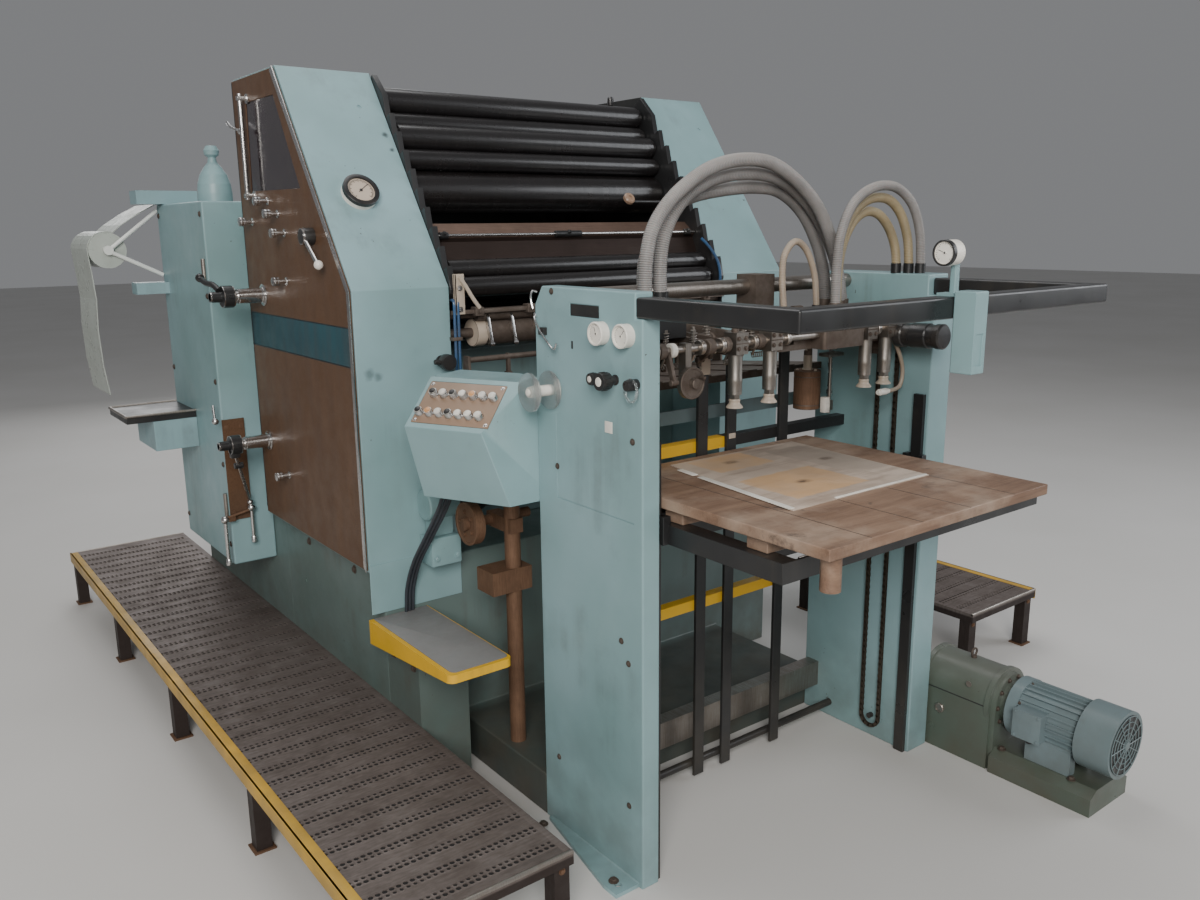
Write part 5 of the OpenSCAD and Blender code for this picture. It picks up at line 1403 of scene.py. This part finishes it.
# %% Pile control, blast tube and pads
motor_x, motor_y = 0.325, -0.960
jacket, cap = Shape(), Shape()
jacket.lathe((motor_x, motor_y, 1.0258), up, [
    (0, 0.0355), (0.002, 0.0385), (0.010, 0.0385), (0.011, 0.0374), (0.013, 0.0374), (0.014, 0.0385),
    (0.092, 0.0385), (0.093, 0.0374), (0.095, 0.0374), (0.096, 0.0385), (0.109, 0.0385),
    (0.1125, 0.0355)], 40)
jacket.done("pile_motor_jacket", brown_steel)
cap.lathe((motor_x, motor_y, 1.1384), up, [
    (0, 0.0155), (0.004, 0.0155), (0.005, 0.0126), (0.042, 0.0126), (0.0445, 0.0095), (0.058, 0.0092),
    (0.059, 0.0085)], 20)
for a in turns(3):
    x, y = motor_x + 0.030 * math.cos(a + 0.5), motor_y + 0.030 * math.sin(a + 0.5)
    cap.screw((x, y, 1.1384), up, 0.0032, 0.003)
cap.done("pile_motor_cap", beige_enamel)
sensor = Shape()
sensor.box((0.337, -1.019, 1.017), (0.357, -1.001, 1.062), 0.002)
sensor.box((0.3385, -1.0212, 1.024), (0.3555, -1.019, 1.055), 0.0008)
sensor.done("sensor_block", button_white)
feeler_x, feeler_y = 0.413, -0.970
holder = Shape()
holder.box((0.357, -1.016, 1.022), (0.376, -1.003, 1.050), 0.001)
holder.rod((0.366, -1.009, 1.050), (0.366, -1.009, 1.180), 0.004)
holder.box((0.352, -1.014, 1.176), (0.420, -0.976, 1.186), 0.0015)
holder.done("sensor_holder", shaft_steel)
feeler = Shape()
feeler.rod((feeler_x, feeler_y, 1.001), (feeler_x, feeler_y, 1.192), 0.0066)
feeler.lathe((feeler_x, feeler_y, 1.060), up, [(0, 0.009), (0.012, 0.009)], 16)
feeler.done("feeler_rod", bright_chrome)
block = Shape()
block.box((0.3990, -0.9815, 1.1905), (0.4270, -0.9585, 1.2245), 0.002)
block.done("feeler_block", dial_white)
tube = Shape()
tube.bent([(0.358, front_y + 0.005, 1.296), (0.395, front_y, 1.262), (0.437, front_y - 0.006, 1.205),
           (0.458, front_y - 0.008, 1.150), (0.450, front_y - 0.008, 1.106), (0.415, front_y - 0.008, 1.096),
           (0.396, front_y - 0.008, 1.096)], 0.0058, 12)
tube.done("blast_tube", thin_hose)
nozzle = Shape()
nozzle.lathe((0.352, front_y - 0.008, 1.096), right, [
    (0, 0.0060), (0.006, 0.0066), (0.007, 0.0092), (0.036, 0.0092), (0.038, 0.0075), (0.047, 0.0072)], 20)
nozzle.done("blast_nozzle", dial_white)
pads = Shape()
for x in (-0.108, -0.002):
    pads.box((x - 0.0165, -0.9925, 1.168), (x + 0.0165, -0.9845, 1.214), 0.002)
pads.box((-0.014, -0.9875, 0.984), (0.010, -0.9853, 0.998), 0.0006)
pads.done("guide_pads", beige_enamel)

# %% [markdown]
# The hoist chains are made link by link. One link is two shaped plates with a roller
# between them. A Geometry Nodes tree walks round the loop and sets a link at every pitch,
# turned along the loop, so the chain closes on itself at both sprockets.

# %% Hoist chains
def chain_link():
    link = Shape()
    half = 0.0095
    for x in (-0.0042, 0.0030):
        ring = [(-half, -0.0055), (half, -0.0055), (half + 0.004, 0), (half, 0.0055), (0, 0.0038),
                (-half, 0.0055), (-half - 0.004, 0)]
        link.solid([[(d, b, a) for a, b in ring] for d in (x, x + 0.0012)])
    link.lathe((-0.0030, 0, half), right, [(0, 0.0042), (0.0060, 0.0042)], 8)
    return shown("chain_link", mesh_data("chain_link", link.mesh))


def chain_tree():
    tree, given, add, _, close = node_tree("link_chain", [
        ("Link", "Object"), ("Count", "Int"), ("Material", "Material")])
    line = add("GeometryNodeMeshToCurve", None, {"Mesh": given["Geometry"]})
    spots = add("GeometryNodeCurveToPoints", {"mode": "COUNT"},
                {"Curve": line.outputs[0], "Count": given["Count"]})
    turn = add("FunctionNodeAlignRotationToVector", {"axis": "Z", "pivot_axis": "X"},
               {"Vector": spots.outputs["Tangent"]})
    shape = add("GeometryNodeObjectInfo", None, {"Object": given["Link"]})
    copies = add("GeometryNodeInstanceOnPoints", None, {
        "Points": spots.outputs["Points"], "Instance": shape.outputs["Geometry"],
        "Rotation": turn.outputs[0]})
    close(copies.outputs[0])
    return tree


link_chain, chain_pitch = chain_tree(), 0.01905


def loop_mesh(name, first, last, radius, steps, bends):
    """A closed line round two sprockets, in straight steps and steps of the bends."""
    along = (last - first).normalized()
    out = Vector((0, -along.z, along.y))
    points = []
    for a, b, side in ((first, last, 1), (last, first, -1)):
        points += [a.lerp(b, k / steps) + side * radius * out for k in range(steps)]
        points += [b + side * radius * (out * math.cos(t) + along * math.sin(t))
                   for t in (math.pi * k / bends for k in range(bends))]
    data = bpy.data.meshes.new(name)
    data.from_pydata(points, [(i, (i + 1) % len(points)) for i in range(len(points))], [])
    return data


def chain(name, first, last, radius, steps, bends):
    """Links all the way round two sprockets, as many as the pitch gives."""
    around = 2 * (last - first).length + 2 * math.pi * radius
    link = chain_link()
    values = {"Link": link, "Count": round(around / chain_pitch), "Material": worn_chain}
    piece = run_tree(name, link_chain, loop_mesh(name, first, last, radius, steps, bends), values)
    bpy.data.objects.remove(link)
    return piece


loop_y, loop_low, loop_high = feeder_y + 0.1355, 0.070, 1.290
hoists = [chain(name, Vector((x, loop_y, loop_low)), Vector((x, loop_y, loop_high)), 0.0305, 40, 12)
          for name, x in (("operator_chain", -0.4905), ("drive_chain", 0.4705))]
for piece in hoists:
    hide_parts("hoist_chains")

# %% [markdown]
# A worn cover sheet lies on the pile board. It is older than the job: its face is rubbed in
# rectangles where small pads stood, each with a dark oil mark, and two of its edges are
# held by pale slats. All of this moves with the pile.

# %% Cover sheet of the pile board
board_top = 0.955


def open_math(f, operation, a, b):
    """A sum or difference that may leave the range from zero to one."""
    return f.node("Math", {"operation": operation}, i0=a, i1=b).outputs[0]


def rubbed_sheet():
    f = Finish("cover_sheet")
    cloud = f.ramp(f.noise(3.5, 6, 0.65), 0.32, 0.70)
    base = f.mix(cloud, (0.30, 0.225, 0.175), (0.56, 0.47, 0.39))
    scuffs = f.ramp(f.noise(2.4, 5, 0.6, f.stretched((2, 16, 1))), 0.50, 0.68, 0.0, 0.5)
    base = f.mix(scuffs, base, (0.20, 0.145, 0.11))
    for cx, cy, w, l, tan in ((-0.130, -1.352, 0.250, 0.190, (0.50, 0.315, 0.165)),
                              (-0.125, -1.105, 0.190, 0.130, (0.53, 0.35, 0.20)),
                              (0.095, -1.230, 0.130, 0.300, (0.34, 0.28, 0.23))):
        away_x = f.math("ABSOLUTE", open_math(f, "SUBTRACT", f.axis("X"), cx))
        away_y = f.math("ABSOLUTE", open_math(f, "SUBTRACT", f.axis("Y"), cy))
        ragged = f.ramp(f.noise(26, 4), 0.3, 0.7, -0.004, 0.004)
        inside_x = f.ramp(open_math(f, "ADD", away_x, ragged), w / 2 + 0.004, w / 2 - 0.002)
        inside_y = f.ramp(open_math(f, "ADD", away_y, ragged), l / 2 + 0.004, l / 2 - 0.002)
        inside = f.times(inside_x, inside_y)
        worn = f.times(inside, f.ramp(f.noise(9, 5), 0.25, 0.6, 0.35, 0.9))
        base = f.mix(worn, base, tan)
        spot = f.times(f.ramp(away_x, 0.028, 0.006), f.ramp(away_y, 0.017, 0.004))
        oily = f.times(spot, f.ramp(f.noise(60, 4), 0.30, 0.55, 0.4, 0.9))
        base = f.mix(oily, base, (0.075, 0.045, 0.03))
    f.set("Base Color", base)
    f.rough(14, 4, 0.42, 0.7)
    f.bump(f.noise(120, 3), 0.3, 0.0006)
    return f.material


corners = [(-0.335, -1.505), (0.150, -1.502), (0.186, -1.032), (-0.262, -1.028)]
sheet = Shape()
sheet.prism(corners, board_top + 0.0001, board_top + 0.0021, "z", 0.0004)
sheet.done("cover_sheet", rubbed_sheet(), "pile_table")
slats = Shape()


def slat(a, b, width, z=board_top + 0.0021, high=0.0022):
    a, b = Vector((*a, 0)), Vector((*b, 0))
    along = (b - a).normalized()
    side = Vector((-along.y, along.x, 0)) * width / 2
    ring = [a - side, b - side, b + side, a + side]
    slats.soften(slats.solid([[p + Vector((0, 0, h)) for p in ring] for h in (z, z + high)]), 0.0006)


slat((-0.330, -1.497), (-0.291, -1.170), 0.016)
slat((-0.288, -1.150), (-0.280, -1.085), 0.016)
slat((-0.190, -1.499), (0.145, -1.497), 0.007)
slats.done("sheet_slats", dial_white, "pile_table")
boards = Shape()
for x in (-0.355, -0.190, -0.020, 0.150):
    boards.box((x - 0.0008, -1.7243, board_top - 0.0002), (x + 0.0008, -0.9937, board_top + 0.00025), 0)
boards.done("board_joints", black_plastic, "pile_table")

# %% [markdown]
# Behind the visible rollers sits the plate cylinder. Only a dark curve of it shows between
# the ink drum and the wash tray, with its bright bearer rings near the cabinets.

# %% Plate cylinder and bearers
cylinder_y, cylinder_z, cylinder_radius = 0.050, 1.425, 0.125
plate_cylinder, bearers = Shape(), Shape()
plate_cylinder.drum((-0.470, cylinder_y, cylinder_z), right, 0.940, cylinder_radius, 0.002, 72)
for x in (-0.505, 0.472):
    bearers.lathe((x, cylinder_y, cylinder_z), right, [
        (0, cylinder_radius - 0.003), (0.002, cylinder_radius + 0.001), (0.031, cylinder_radius + 0.001),
        (0.033, cylinder_radius - 0.003)], 72)
for x in (-0.5235, 0.5055):
    bearers.lathe((x, cylinder_y, cylinder_z), right, [(0, 0.045), (0.018, 0.045)], 36)
plate_cylinder.done("plate_cylinder", drum_rubber)
bearers.done("plate_cylinder_bearers", upright_steel)

# %% [markdown]
# The roller bank has small fittings of its own: a throw-off rod with a pale knob in front
# of the drum, clamps on the wash tray, a lever with a pale bracket at the operator's end,
# and the short brass-footed handle of the ink fountain. On the real machine that handle
# stands higher; here it keeps below the top of the cabinets.

# %% Fittings of the roller bank
knee = Vector((0, -0.396, 1.390))


def on_slope(x, along, out):
    return knee + Vector((x, 0, 0)) + slope_up * along + slope_out * out


pale, dark, bright, bone = Shape(), Shape(), Shape(), Shape()
knob = on_slope(0.258, 0.300, 0.004)
bone.lathe(knob - slope_out * 0.008, slope_out, [
    (0, 0.0165), (0.002, 0.0195), (0.012, 0.0200), (0.016, 0.0165), (0.0165, 0.0070), (0.0130, 0.0065)], 28)
dark.rod(knob - slope_out * 0.014, knob - slope_out * 0.004, 0.0075)
dark.rod(knob - slope_out * 0.016, on_slope(0.506, 0.300, -0.012), 0.0050)
dark.box(on_slope(0.490, 0.290, -0.012) - Vector((0, 0.012, 0)),
         on_slope(0.5065, 0.290, -0.012) + Vector((0, 0.012, 0.024)), 0.002)
rod_up = 0.181
bright.rod(on_slope(-0.505, rod_up, -0.018), on_slope(0.505, rod_up, -0.018), 0.0042)
for x, half in ((-0.470, 0.014), (-0.030, 0.050), (0.470, 0.014)):
    dark.rod(on_slope(x - half, rod_up, -0.018), on_slope(x + half, rod_up, -0.018), 0.0100, 12)
    dark.screw(on_slope(x, rod_up, -0.008), slope_out, 0.0050, 0.004)
pale.box((-0.515, -0.4110, 1.312), (-0.484, -0.4050, 1.424), 0.0015)
pale.box((-0.515, -0.4110, 1.312), (-0.509, -0.4000, 1.424), 0.001)
pale.bent([(-0.500, -0.414, 1.415), (-0.484, -0.416, 1.392), (-0.462, -0.417, 1.356),
           (-0.441, -0.417, 1.328)], 0.0058, 12)
for z in (1.326, 1.385):
    bright.screw((-0.499, -0.4112, z), front, 0.0055, 0.005)
pale.lathe((-0.4302, -0.345, 1.252), right, [
    (0, 0.0385), (0.002, 0.0408), (0.033, 0.0408), (0.035, 0.0398)], 40)
pale.done("bank_pale_fittings", beige_enamel)
bone.done("bank_knob", panel_beige)
dark.done("bank_clamps", black_enamel)
bright.done("bank_rod", bright_chrome)
foot, grip = Shape(), Shape()
handle_x, handle_y, fountain_top = 0.440, 0.104, 1.9275
foot.lathe((handle_x, handle_y, fountain_top), up, [
    (0, 0.020), (0.004, 0.020), (0.006, 0.013), (0.026, 0.0095), (0.030, 0.0065)], 24)
foot.box((0.296, 0.092, fountain_top), (0.318, 0.122, 1.962), 0.003)
foot.done("fountain_handle_foot", blade_metal)
grip.rod((handle_x, handle_y, 1.955), (handle_x, handle_y, 1.972), 0.0062)
grip.lathe((handle_x, handle_y, 1.970), up, [
    (0, 0.0065), (0.004, 0.0105), (0.020, 0.0120), (0.028, 0.0110), (0.033, 0.005)], 20)
grip.done("fountain_handle", black_plastic)
hose_end = Shape()
hose_end.bent([(0.468, -0.352, 1.506), (0.482, -0.374, 1.480), (0.496, -0.398, 1.440), (0.502, -0.410, 1.395),
               (0.503, -0.408, 1.340)], 0.0048, 10)
hose_end.done("damping_pipe", blue_tube)

# %% [markdown]
# Below the knee the sheets are gripped and lined up. A comb of bright fingers hangs from
# the nip bar over the table, and small adjusting blocks ride on the square rail behind.

# %% Sheet fingers at the infeed
fingers, rider = Shape(), Shape()
finger_side = [(-0.3965, 1.292), (-0.3900, 1.306), (-0.3800, 1.306), (-0.3885, 1.262), (-0.4075, 1.222),
               (-0.4130, 1.226)]
for k in range(11):
    x = -0.400 + k * 0.080
    fingers.prism(finger_side, x - 0.0045, x + 0.0045, "x", 0.0008)
    fingers.lathe((x - 0.007, -0.4085, 1.2215), right, [(0, 0.0075), (0.014, 0.0075)], 14)
for k in range(6):
    x = -0.440 + k * 0.176
    rider.box((x - 0.014, -0.416, 1.305), (x + 0.014, -0.388, 1.330), 0.002)
    rider.screw((x, -0.4162, 1.3175), front, 0.0050, 0.005)
rider.box((-0.5235, -0.409, 1.312), (0.5235, -0.396, 1.323), 0.001)
fingers.done("sheet_fingers", bright_chrome)
rider.done("finger_rail", dusty_casting)

# %% [markdown]
# On the operator's half of the feeder the lifting cams are boxed in small castings beside
# the shafts, which fill the view under the black rail.

# %% Cam housings of the feeder
housings = Shape()
cam_boxes = ((-0.470, 0.040, 1.232, -1.100, -0.955), (-0.418, 0.058, 1.240, -1.085, -0.965),
             (-0.345, 0.034, 1.226, -1.095, -0.950), (-0.296, 0.050, 1.238, -1.080, -0.960),
             (-0.232, 0.030, 1.230, -1.100, -0.955), (-0.192, 0.056, 1.242, -1.085, -0.965),
             (-0.121, 0.036, 1.228, -1.090, -0.950), (-0.074, 0.040, 1.238, -1.080, -0.960))
for x0, width, low, y0, y1 in cam_boxes:
    housings.box((x0, y0, low), (x0 + width, y1, 1.272), 0.004)
    housings.lathe((x0 - 0.003, (y0 + y1) / 2, 1.262), right, [
        (0, 0.018), (0.002, 0.0205), (width + 0.004, 0.0205), (width + 0.006, 0.018)], 22)
    housings.screw((x0 + width / 2, y0 - 0.0002, 1.255), front, 0.0045, 0.004)
    housings.lathe((x0 + width / 2, y0 + 0.018, low - 0.020), up, [(0, 0.006), (0.0205, 0.0075)], 12)
housings.box((0.4155, -1.135, 1.205), (0.4595, -1.098, 1.248), 0.004)
housings.box((0.4255, -1.128, 1.190), (0.4495, -1.105, 1.206), 0.002)
housings.done("cam_housings", dusty_casting)

# %% [markdown]
# The vacuum pump stands by itself on a cast base. Its end cover is held by a ring of bolts,
# an oil glass sits low on its side, and the motor's cowl breathes through a round grille.

# %% Vacuum pump and its motor
axis_x, axis_z, casing_x = 0.670, 0.190, 0.578
ring_y, cover_y, flange_y, cowl_y = -1.345, -1.4742, -1.5322, -1.800


def round_motor(radius, y, a):
    return Vector((axis_x + radius * math.cos(a), y, axis_z + radius * math.sin(a)))


bolts, dark_lines = Shape(), Shape()
for a in turns(10):
    bolts.screw(round_motor(0.0745, cover_y, a), front, 0.0052, 0.005)
for a in turns(6):
    bolts.screw(round_motor(0.0760, flange_y, a + math.radians(30)), front, 0.0045, 0.004)
for x in (0.600, 0.740):
    for y in (-1.700, -1.495):
        bolts.screw((x, y, 0.0701), up, 0.0080, 0.007)
bolts.bent([(axis_x + 0.013 * math.cos(a), ring_y, 0.2990 + 0.011 * math.sin(a)) for a in turns(14, 1)],
           0.0030, 8, 2)
bolts.rod((axis_x, ring_y, 0.2800), (axis_x, ring_y, 0.2890), 0.0085)
bolts.done("pump_bolts", dusty_casting)
for x in (0.5774, 0.7610):
    dark_lines.box((x, -1.4430, 0.1885), (x + 0.0016, -1.2470, 0.1915), 0)
# The thin black disc on the cowl's face, behind the grille, is painted shade: the dark one sees through the
# grille's openings.
dark_lines.lathe((axis_x, cowl_y, axis_z), front, [(0, 0.0840), (0.0009, 0.0840)], 48)
dark_lines.lathe((0.587, -1.580, 0.1500), down, [
    (0, 0.0120), (0.006, 0.0120), (0.007, 0.0095), (0.018, 0.0090)], 16)
dark_lines.done("pump_dark_parts", black_plastic)
grille = Shape()
for radius in (0.018, 0.034, 0.050, 0.066, 0.082):
    grille.bent([round_motor(radius, -1.8022, a) for a in turns(24, 1)], 0.0014, 5, 1)
for a in turns(12)[:6]:
    grille.rod(round_motor(-0.083, -1.8034, a), round_motor(0.083, -1.8034, a), 0.0014, 6)
grille.lathe((axis_x, -1.8010, axis_z), front, [(0, 0.012), (0.004, 0.012), (0.005, 0.010)], 20)
grille.done("cowl_grille", motor_enamel)
lid = Shape()
lid_x = 0.5592
lid.box((lid_x, -1.6220, 0.1480), (0.5624, -1.5400, 0.2320), 0.0014)
for y in (-1.614, -1.548):
    for z in (0.1555, 0.2245):
        lid.screw((lid_x, y, z), left, 0.0035, 0.002, "round")
lid.box((0.5590, -1.6000, 0.1740), (0.5594, -1.5620, 0.2060), 0)
lid.done("terminal_lid", motor_enamel)
glass = Shape()
glass.lathe((casing_x, -1.300, 0.130), left, [
    (0, 0.0150), (0.003, 0.0150), (0.005, 0.0125), (0.005, 0.0100), (0.003, 0.0095)], 24)
glass.lathe((casing_x, -1.390, 0.240), left, [(0, 0.0090), (0.001, 0.0090)], 16)
glass.done("oil_glass", shaft_steel)

# %% [markdown]
# Under the desk one sees into the machine: a pale bearing bracket, a dark drive motor, the
# bolted face of the drive post's wheel, and three conduits that run from the desk down to
# the bed along the cabinet.

# %% Parts under the desk
bracket = Shape()
bracket.box((-0.655, -0.470, 0.616), (-0.560, -0.400, 0.700), 0.006)
bracket.box((-0.640, -0.455, 0.700), (-0.575, -0.405, 0.800), 0.006)
bracket.lathe((-0.655, -0.432, 0.790), right, [
    (0, 0.040), (0.004, 0.044), (0.092, 0.044), (0.096, 0.040)], 32)
for x in (-0.640, -0.575):
    bracket.screw((x, -0.4702, 0.640), front, 0.007, 0.005)
bracket.done("bearing_bracket", press_enamel)
motor = Shape()
motor.lathe((-0.545, -0.450, 0.800), right, [
    (0, 0.034), (0.006, 0.040), (0.050, 0.040), (0.052, 0.046), (0.058, 0.046), (0.060, 0.040),
    (0.110, 0.040), (0.118, 0.030)], 32)
motor.done("drive_motor", black_enamel)
conduits = Shape()
for shift in (0.0, 0.013, 0.026):
    x = -0.712 + shift * 0.8
    conduits.bent([(-0.665 + shift, -0.585, 0.884), (-0.672 + shift, -0.560, 0.820),
                   (-0.690 + shift * 0.9, -0.510, 0.730), (x + 0.006, -0.455, 0.640), (x, -0.420, 0.560),
                   (x, -0.408, 0.500), (x, -0.404, 0.470)], 0.0050, 8)
conduits.done("conduits", conduit_skin)
wheel_bolts, wheel_y, wheel_z = Shape(), -0.575, 0.760
for a in turns(5):
    y, z = wheel_y + 0.034 * math.cos(a), wheel_z + 0.034 * math.sin(a)
    wheel_bolts.screw((-0.6002, y, z), left, 0.0055, 0.005)
wheel_bolts.lathe((-0.6000, wheel_y, wheel_z), left, [(0, 0.0185), (0.010, 0.0175), (0.012, 0.012)], 24)
wheel_bolts.lathe((-0.5998, wheel_y, wheel_z), left, [
    (0, 0.0602), (0.0015, 0.0602), (0.0025, 0.0585), (0.0025, 0.052), (0.0005, 0.050)], 40)
wheel_bolts.done("post_wheel_parts", brown_steel)

# %% [markdown]
# The delivery end is plain in the photograph. Hinges on the lids and caps over the shafts
# come from what such covers need.

# %% Delivery fittings
hinges = Shape()
hinge_y, hinge_z = 0.4320, 1.5905
for x in (-0.45, 0.0, 0.45):
    hinges.rod((x - 0.035, hinge_y, hinge_z), (x + 0.035, hinge_y, hinge_z), 0.0055)
hinges.done("lid_hinges", shaft_steel)
caps = Shape()
for side in (-1, 1):
    for y, z in ((1.190, 0.75), (1.190, 1.05), (1.270, 1.45), (1.390, 1.50)):
        caps.lathe((side * 0.6802, y, z), (side, 0, 0), [
            (0, 0.020), (0.003, 0.020), (0.006, 0.016), (0.0065, 0.006)], 24)
        caps.screw((side * 0.686, y, z), (side, 0, 0), 0.006, 0.004)
caps.done("frame_caps", dusty_casting)

# %% [markdown]
# Through the open end of the delivery one sees the gripper chains. They run round the
# sprockets of the frame, made by the same link tree as the hoist chains, and carry bars
# with a row of small grippers.

# %% Gripper chains of the delivery
sprocket_ys, sprocket_z, sprocket_radius = (0.532, 1.270), 1.450, 0.084
for name, x in (("operator_gripper_chain", -0.594), ("drive_gripper_chain", 0.594)):
    first, last = (Vector((x, y, sprocket_z)) for y in sprocket_ys)
    chain(name, first, last, sprocket_radius, 20, 20)
bars, grippers = Shape(), Shape()
for y, side in ((0.660, -1), (0.960, -1), (1.250, -1), (0.800, 1), (1.080, 1)):
    z = sprocket_z + side * sprocket_radius
    bars.rod((-0.586, y, z), (0.586, y, z), 0.0095)
    bars.box((-0.578, y - 0.0225, z - 0.006), (0.578, y - 0.0145, z + 0.006), 0.001)
    for x in (-0.592, 0.580):
        bars.box((x, y - 0.026, z - 0.011), (x + 0.012, y + 0.016, z + 0.011), 0.002)
    for k in range(13):
        x = -0.510 + k * 0.085
        low = z - 0.0110 * side - 0.004
        grippers.box((x - 0.011, y - 0.034, low), (x + 0.011, y + 0.008, low + 0.006), 0.001)
        grippers.lathe((x - 0.006, y, z), right, [(0, 0.0135), (0.012, 0.0135)], 14)
bars.done("gripper_bars", shaft_steel)
grippers.done("grippers", dusty_casting)

# %% [markdown]
# The delivery has a board of its own, low between the frames, on two channels.
# Nothing of it shows in the photograph, so it repeats the worn wood of the feeder's board.

# %% Delivery board
board, channels = Shape(), Shape()
for k in range(5):
    x = -0.480 + k * 0.192
    board.box((x + 0.0008, 0.560, 0.742), (x + 0.1912, 1.185, 0.768), 0.0020)
board.done("delivery_board", worn_board)
for y in (0.650, 1.070):
    channels.box((-0.6295, y, 0.700), (0.6295, y + 0.045, 0.7418), 0.003)
for x in (-0.6120, 0.5940):
    channels.box((x, 0.640, 0.6165), (x + 0.018, 1.125, 0.7000), 0.002)
channels.done("delivery_channels", black_enamel)

# %% [markdown]
# The drive side of the press is closed by plain covers. What a fitter needs is on them: a
# handwheel to turn the machine by hand, hinges, turn locks and an air grille low down.

# %% Drive-side fittings
wheel, wheel_grip = Shape(), Shape()
hub = Vector((0.8125, -0.150, 0.980))


def round_hub(out, radius, a):
    return hub + Vector((out, radius * math.cos(a), radius * math.sin(a)))


wheel.bent([round_hub(0.052, 0.108, a) for a in turns(32, 1)], 0.0105, 12, 2)
for a in turns(4):
    wheel.rod(round_hub(0.038, 0.018, a + 0.4), round_hub(0.051, 0.102, a + 0.4), 0.0075, 12)
wheel.lathe(hub, right, [
    (0, 0.034), (0.005, 0.034), (0.007, 0.019), (0.026, 0.019), (0.028, 0.026), (0.054, 0.026),
    (0.057, 0.020), (0.0575, 0.007)], 32)
wheel.done("handwheel", black_enamel)
wheel_grip.lathe(hub + Vector((0.060, 0.0, 0.108)), right, [
    (0, 0.006), (0.003, 0.010), (0.030, 0.0135), (0.044, 0.012), (0.048, 0.005)], 20)
wheel_grip.done("handwheel_grip", black_plastic)
fittings = Shape()
door_x, door_edge = 0.8121, 0.384
for z in (0.640, 1.180):
    fittings.rod((0.8160, door_edge, z - 0.040), (0.8160, door_edge, z + 0.040), 0.0075)
    fittings.box((door_x, 0.345, z - 0.034), (0.8150, door_edge, z + 0.034), 0.0008)
    fittings.lathe((door_x, -0.340, z), right, [(0, 0.0160), (0.004, 0.0160), (0.006, 0.0135)], 24)
    fittings.box((0.8178, -0.3420, z - 0.0110), (0.8190, -0.3380, z + 0.0110), 0.0004)
for x in (-0.9240, 0.9240):
    for z in (0.640, 1.420):
        fittings.rod((x, 0.4900, z - 0.040), (x, 0.4900, z + 0.040), 0.0075)
fittings.done("door_fittings", shaft_steel)
grille = Shape()
for k in range(9):
    z = 0.150 + k * 0.028
    slat_side = [(bed_x, z), (bed_x, z + 0.018), (0.7790, z + 0.004), (0.7790, z + 0.001)]
    grille.prism(slat_side, 0.300, 0.620, "y", 0)
grille.done("bed_louvres", shaded_enamel)

# %% [markdown]
# Two more things show under the guard rail: a fat black sleeve over the air valve's drum at
# the head's drive end, and a grey rail that closes the gap below the front of the table.

# %% Valve sleeve and table rail
sleeve, table_rail = Shape(), Shape()
sleeve.lathe((0.425, -1.165, 1.250), (0, -1, 0.03), [
    (0, 0.014), (0.003, 0.020), (0.024, 0.020), (0.026, 0.030), (0.030, 0.034), (0.052, 0.034),
    (0.055, 0.031), (0.075, 0.031), (0.078, 0.034), (0.128, 0.034), (0.131, 0.031), (0.150, 0.031),
    (0.153, 0.034), (0.168, 0.034), (0.172, 0.029), (0.173, 0.012)], 32)
sleeve.rod((0.425, -1.150, 1.250), (0.425, -1.168, 1.250), 0.0115)
sleeve.done("valve_sleeve", black_plastic)
table_rail.box((-0.4995, -0.8760, 1.020), (0.4795, -0.8690, 1.058), 0.0015)
for x in (-0.470, -0.300, 0.0, 0.300, 0.450):
    table_rail.screw((x, -0.8761, 1.039), front, 0.0050, 0.0035)
table_rail.done("table_rail", motor_enamel)
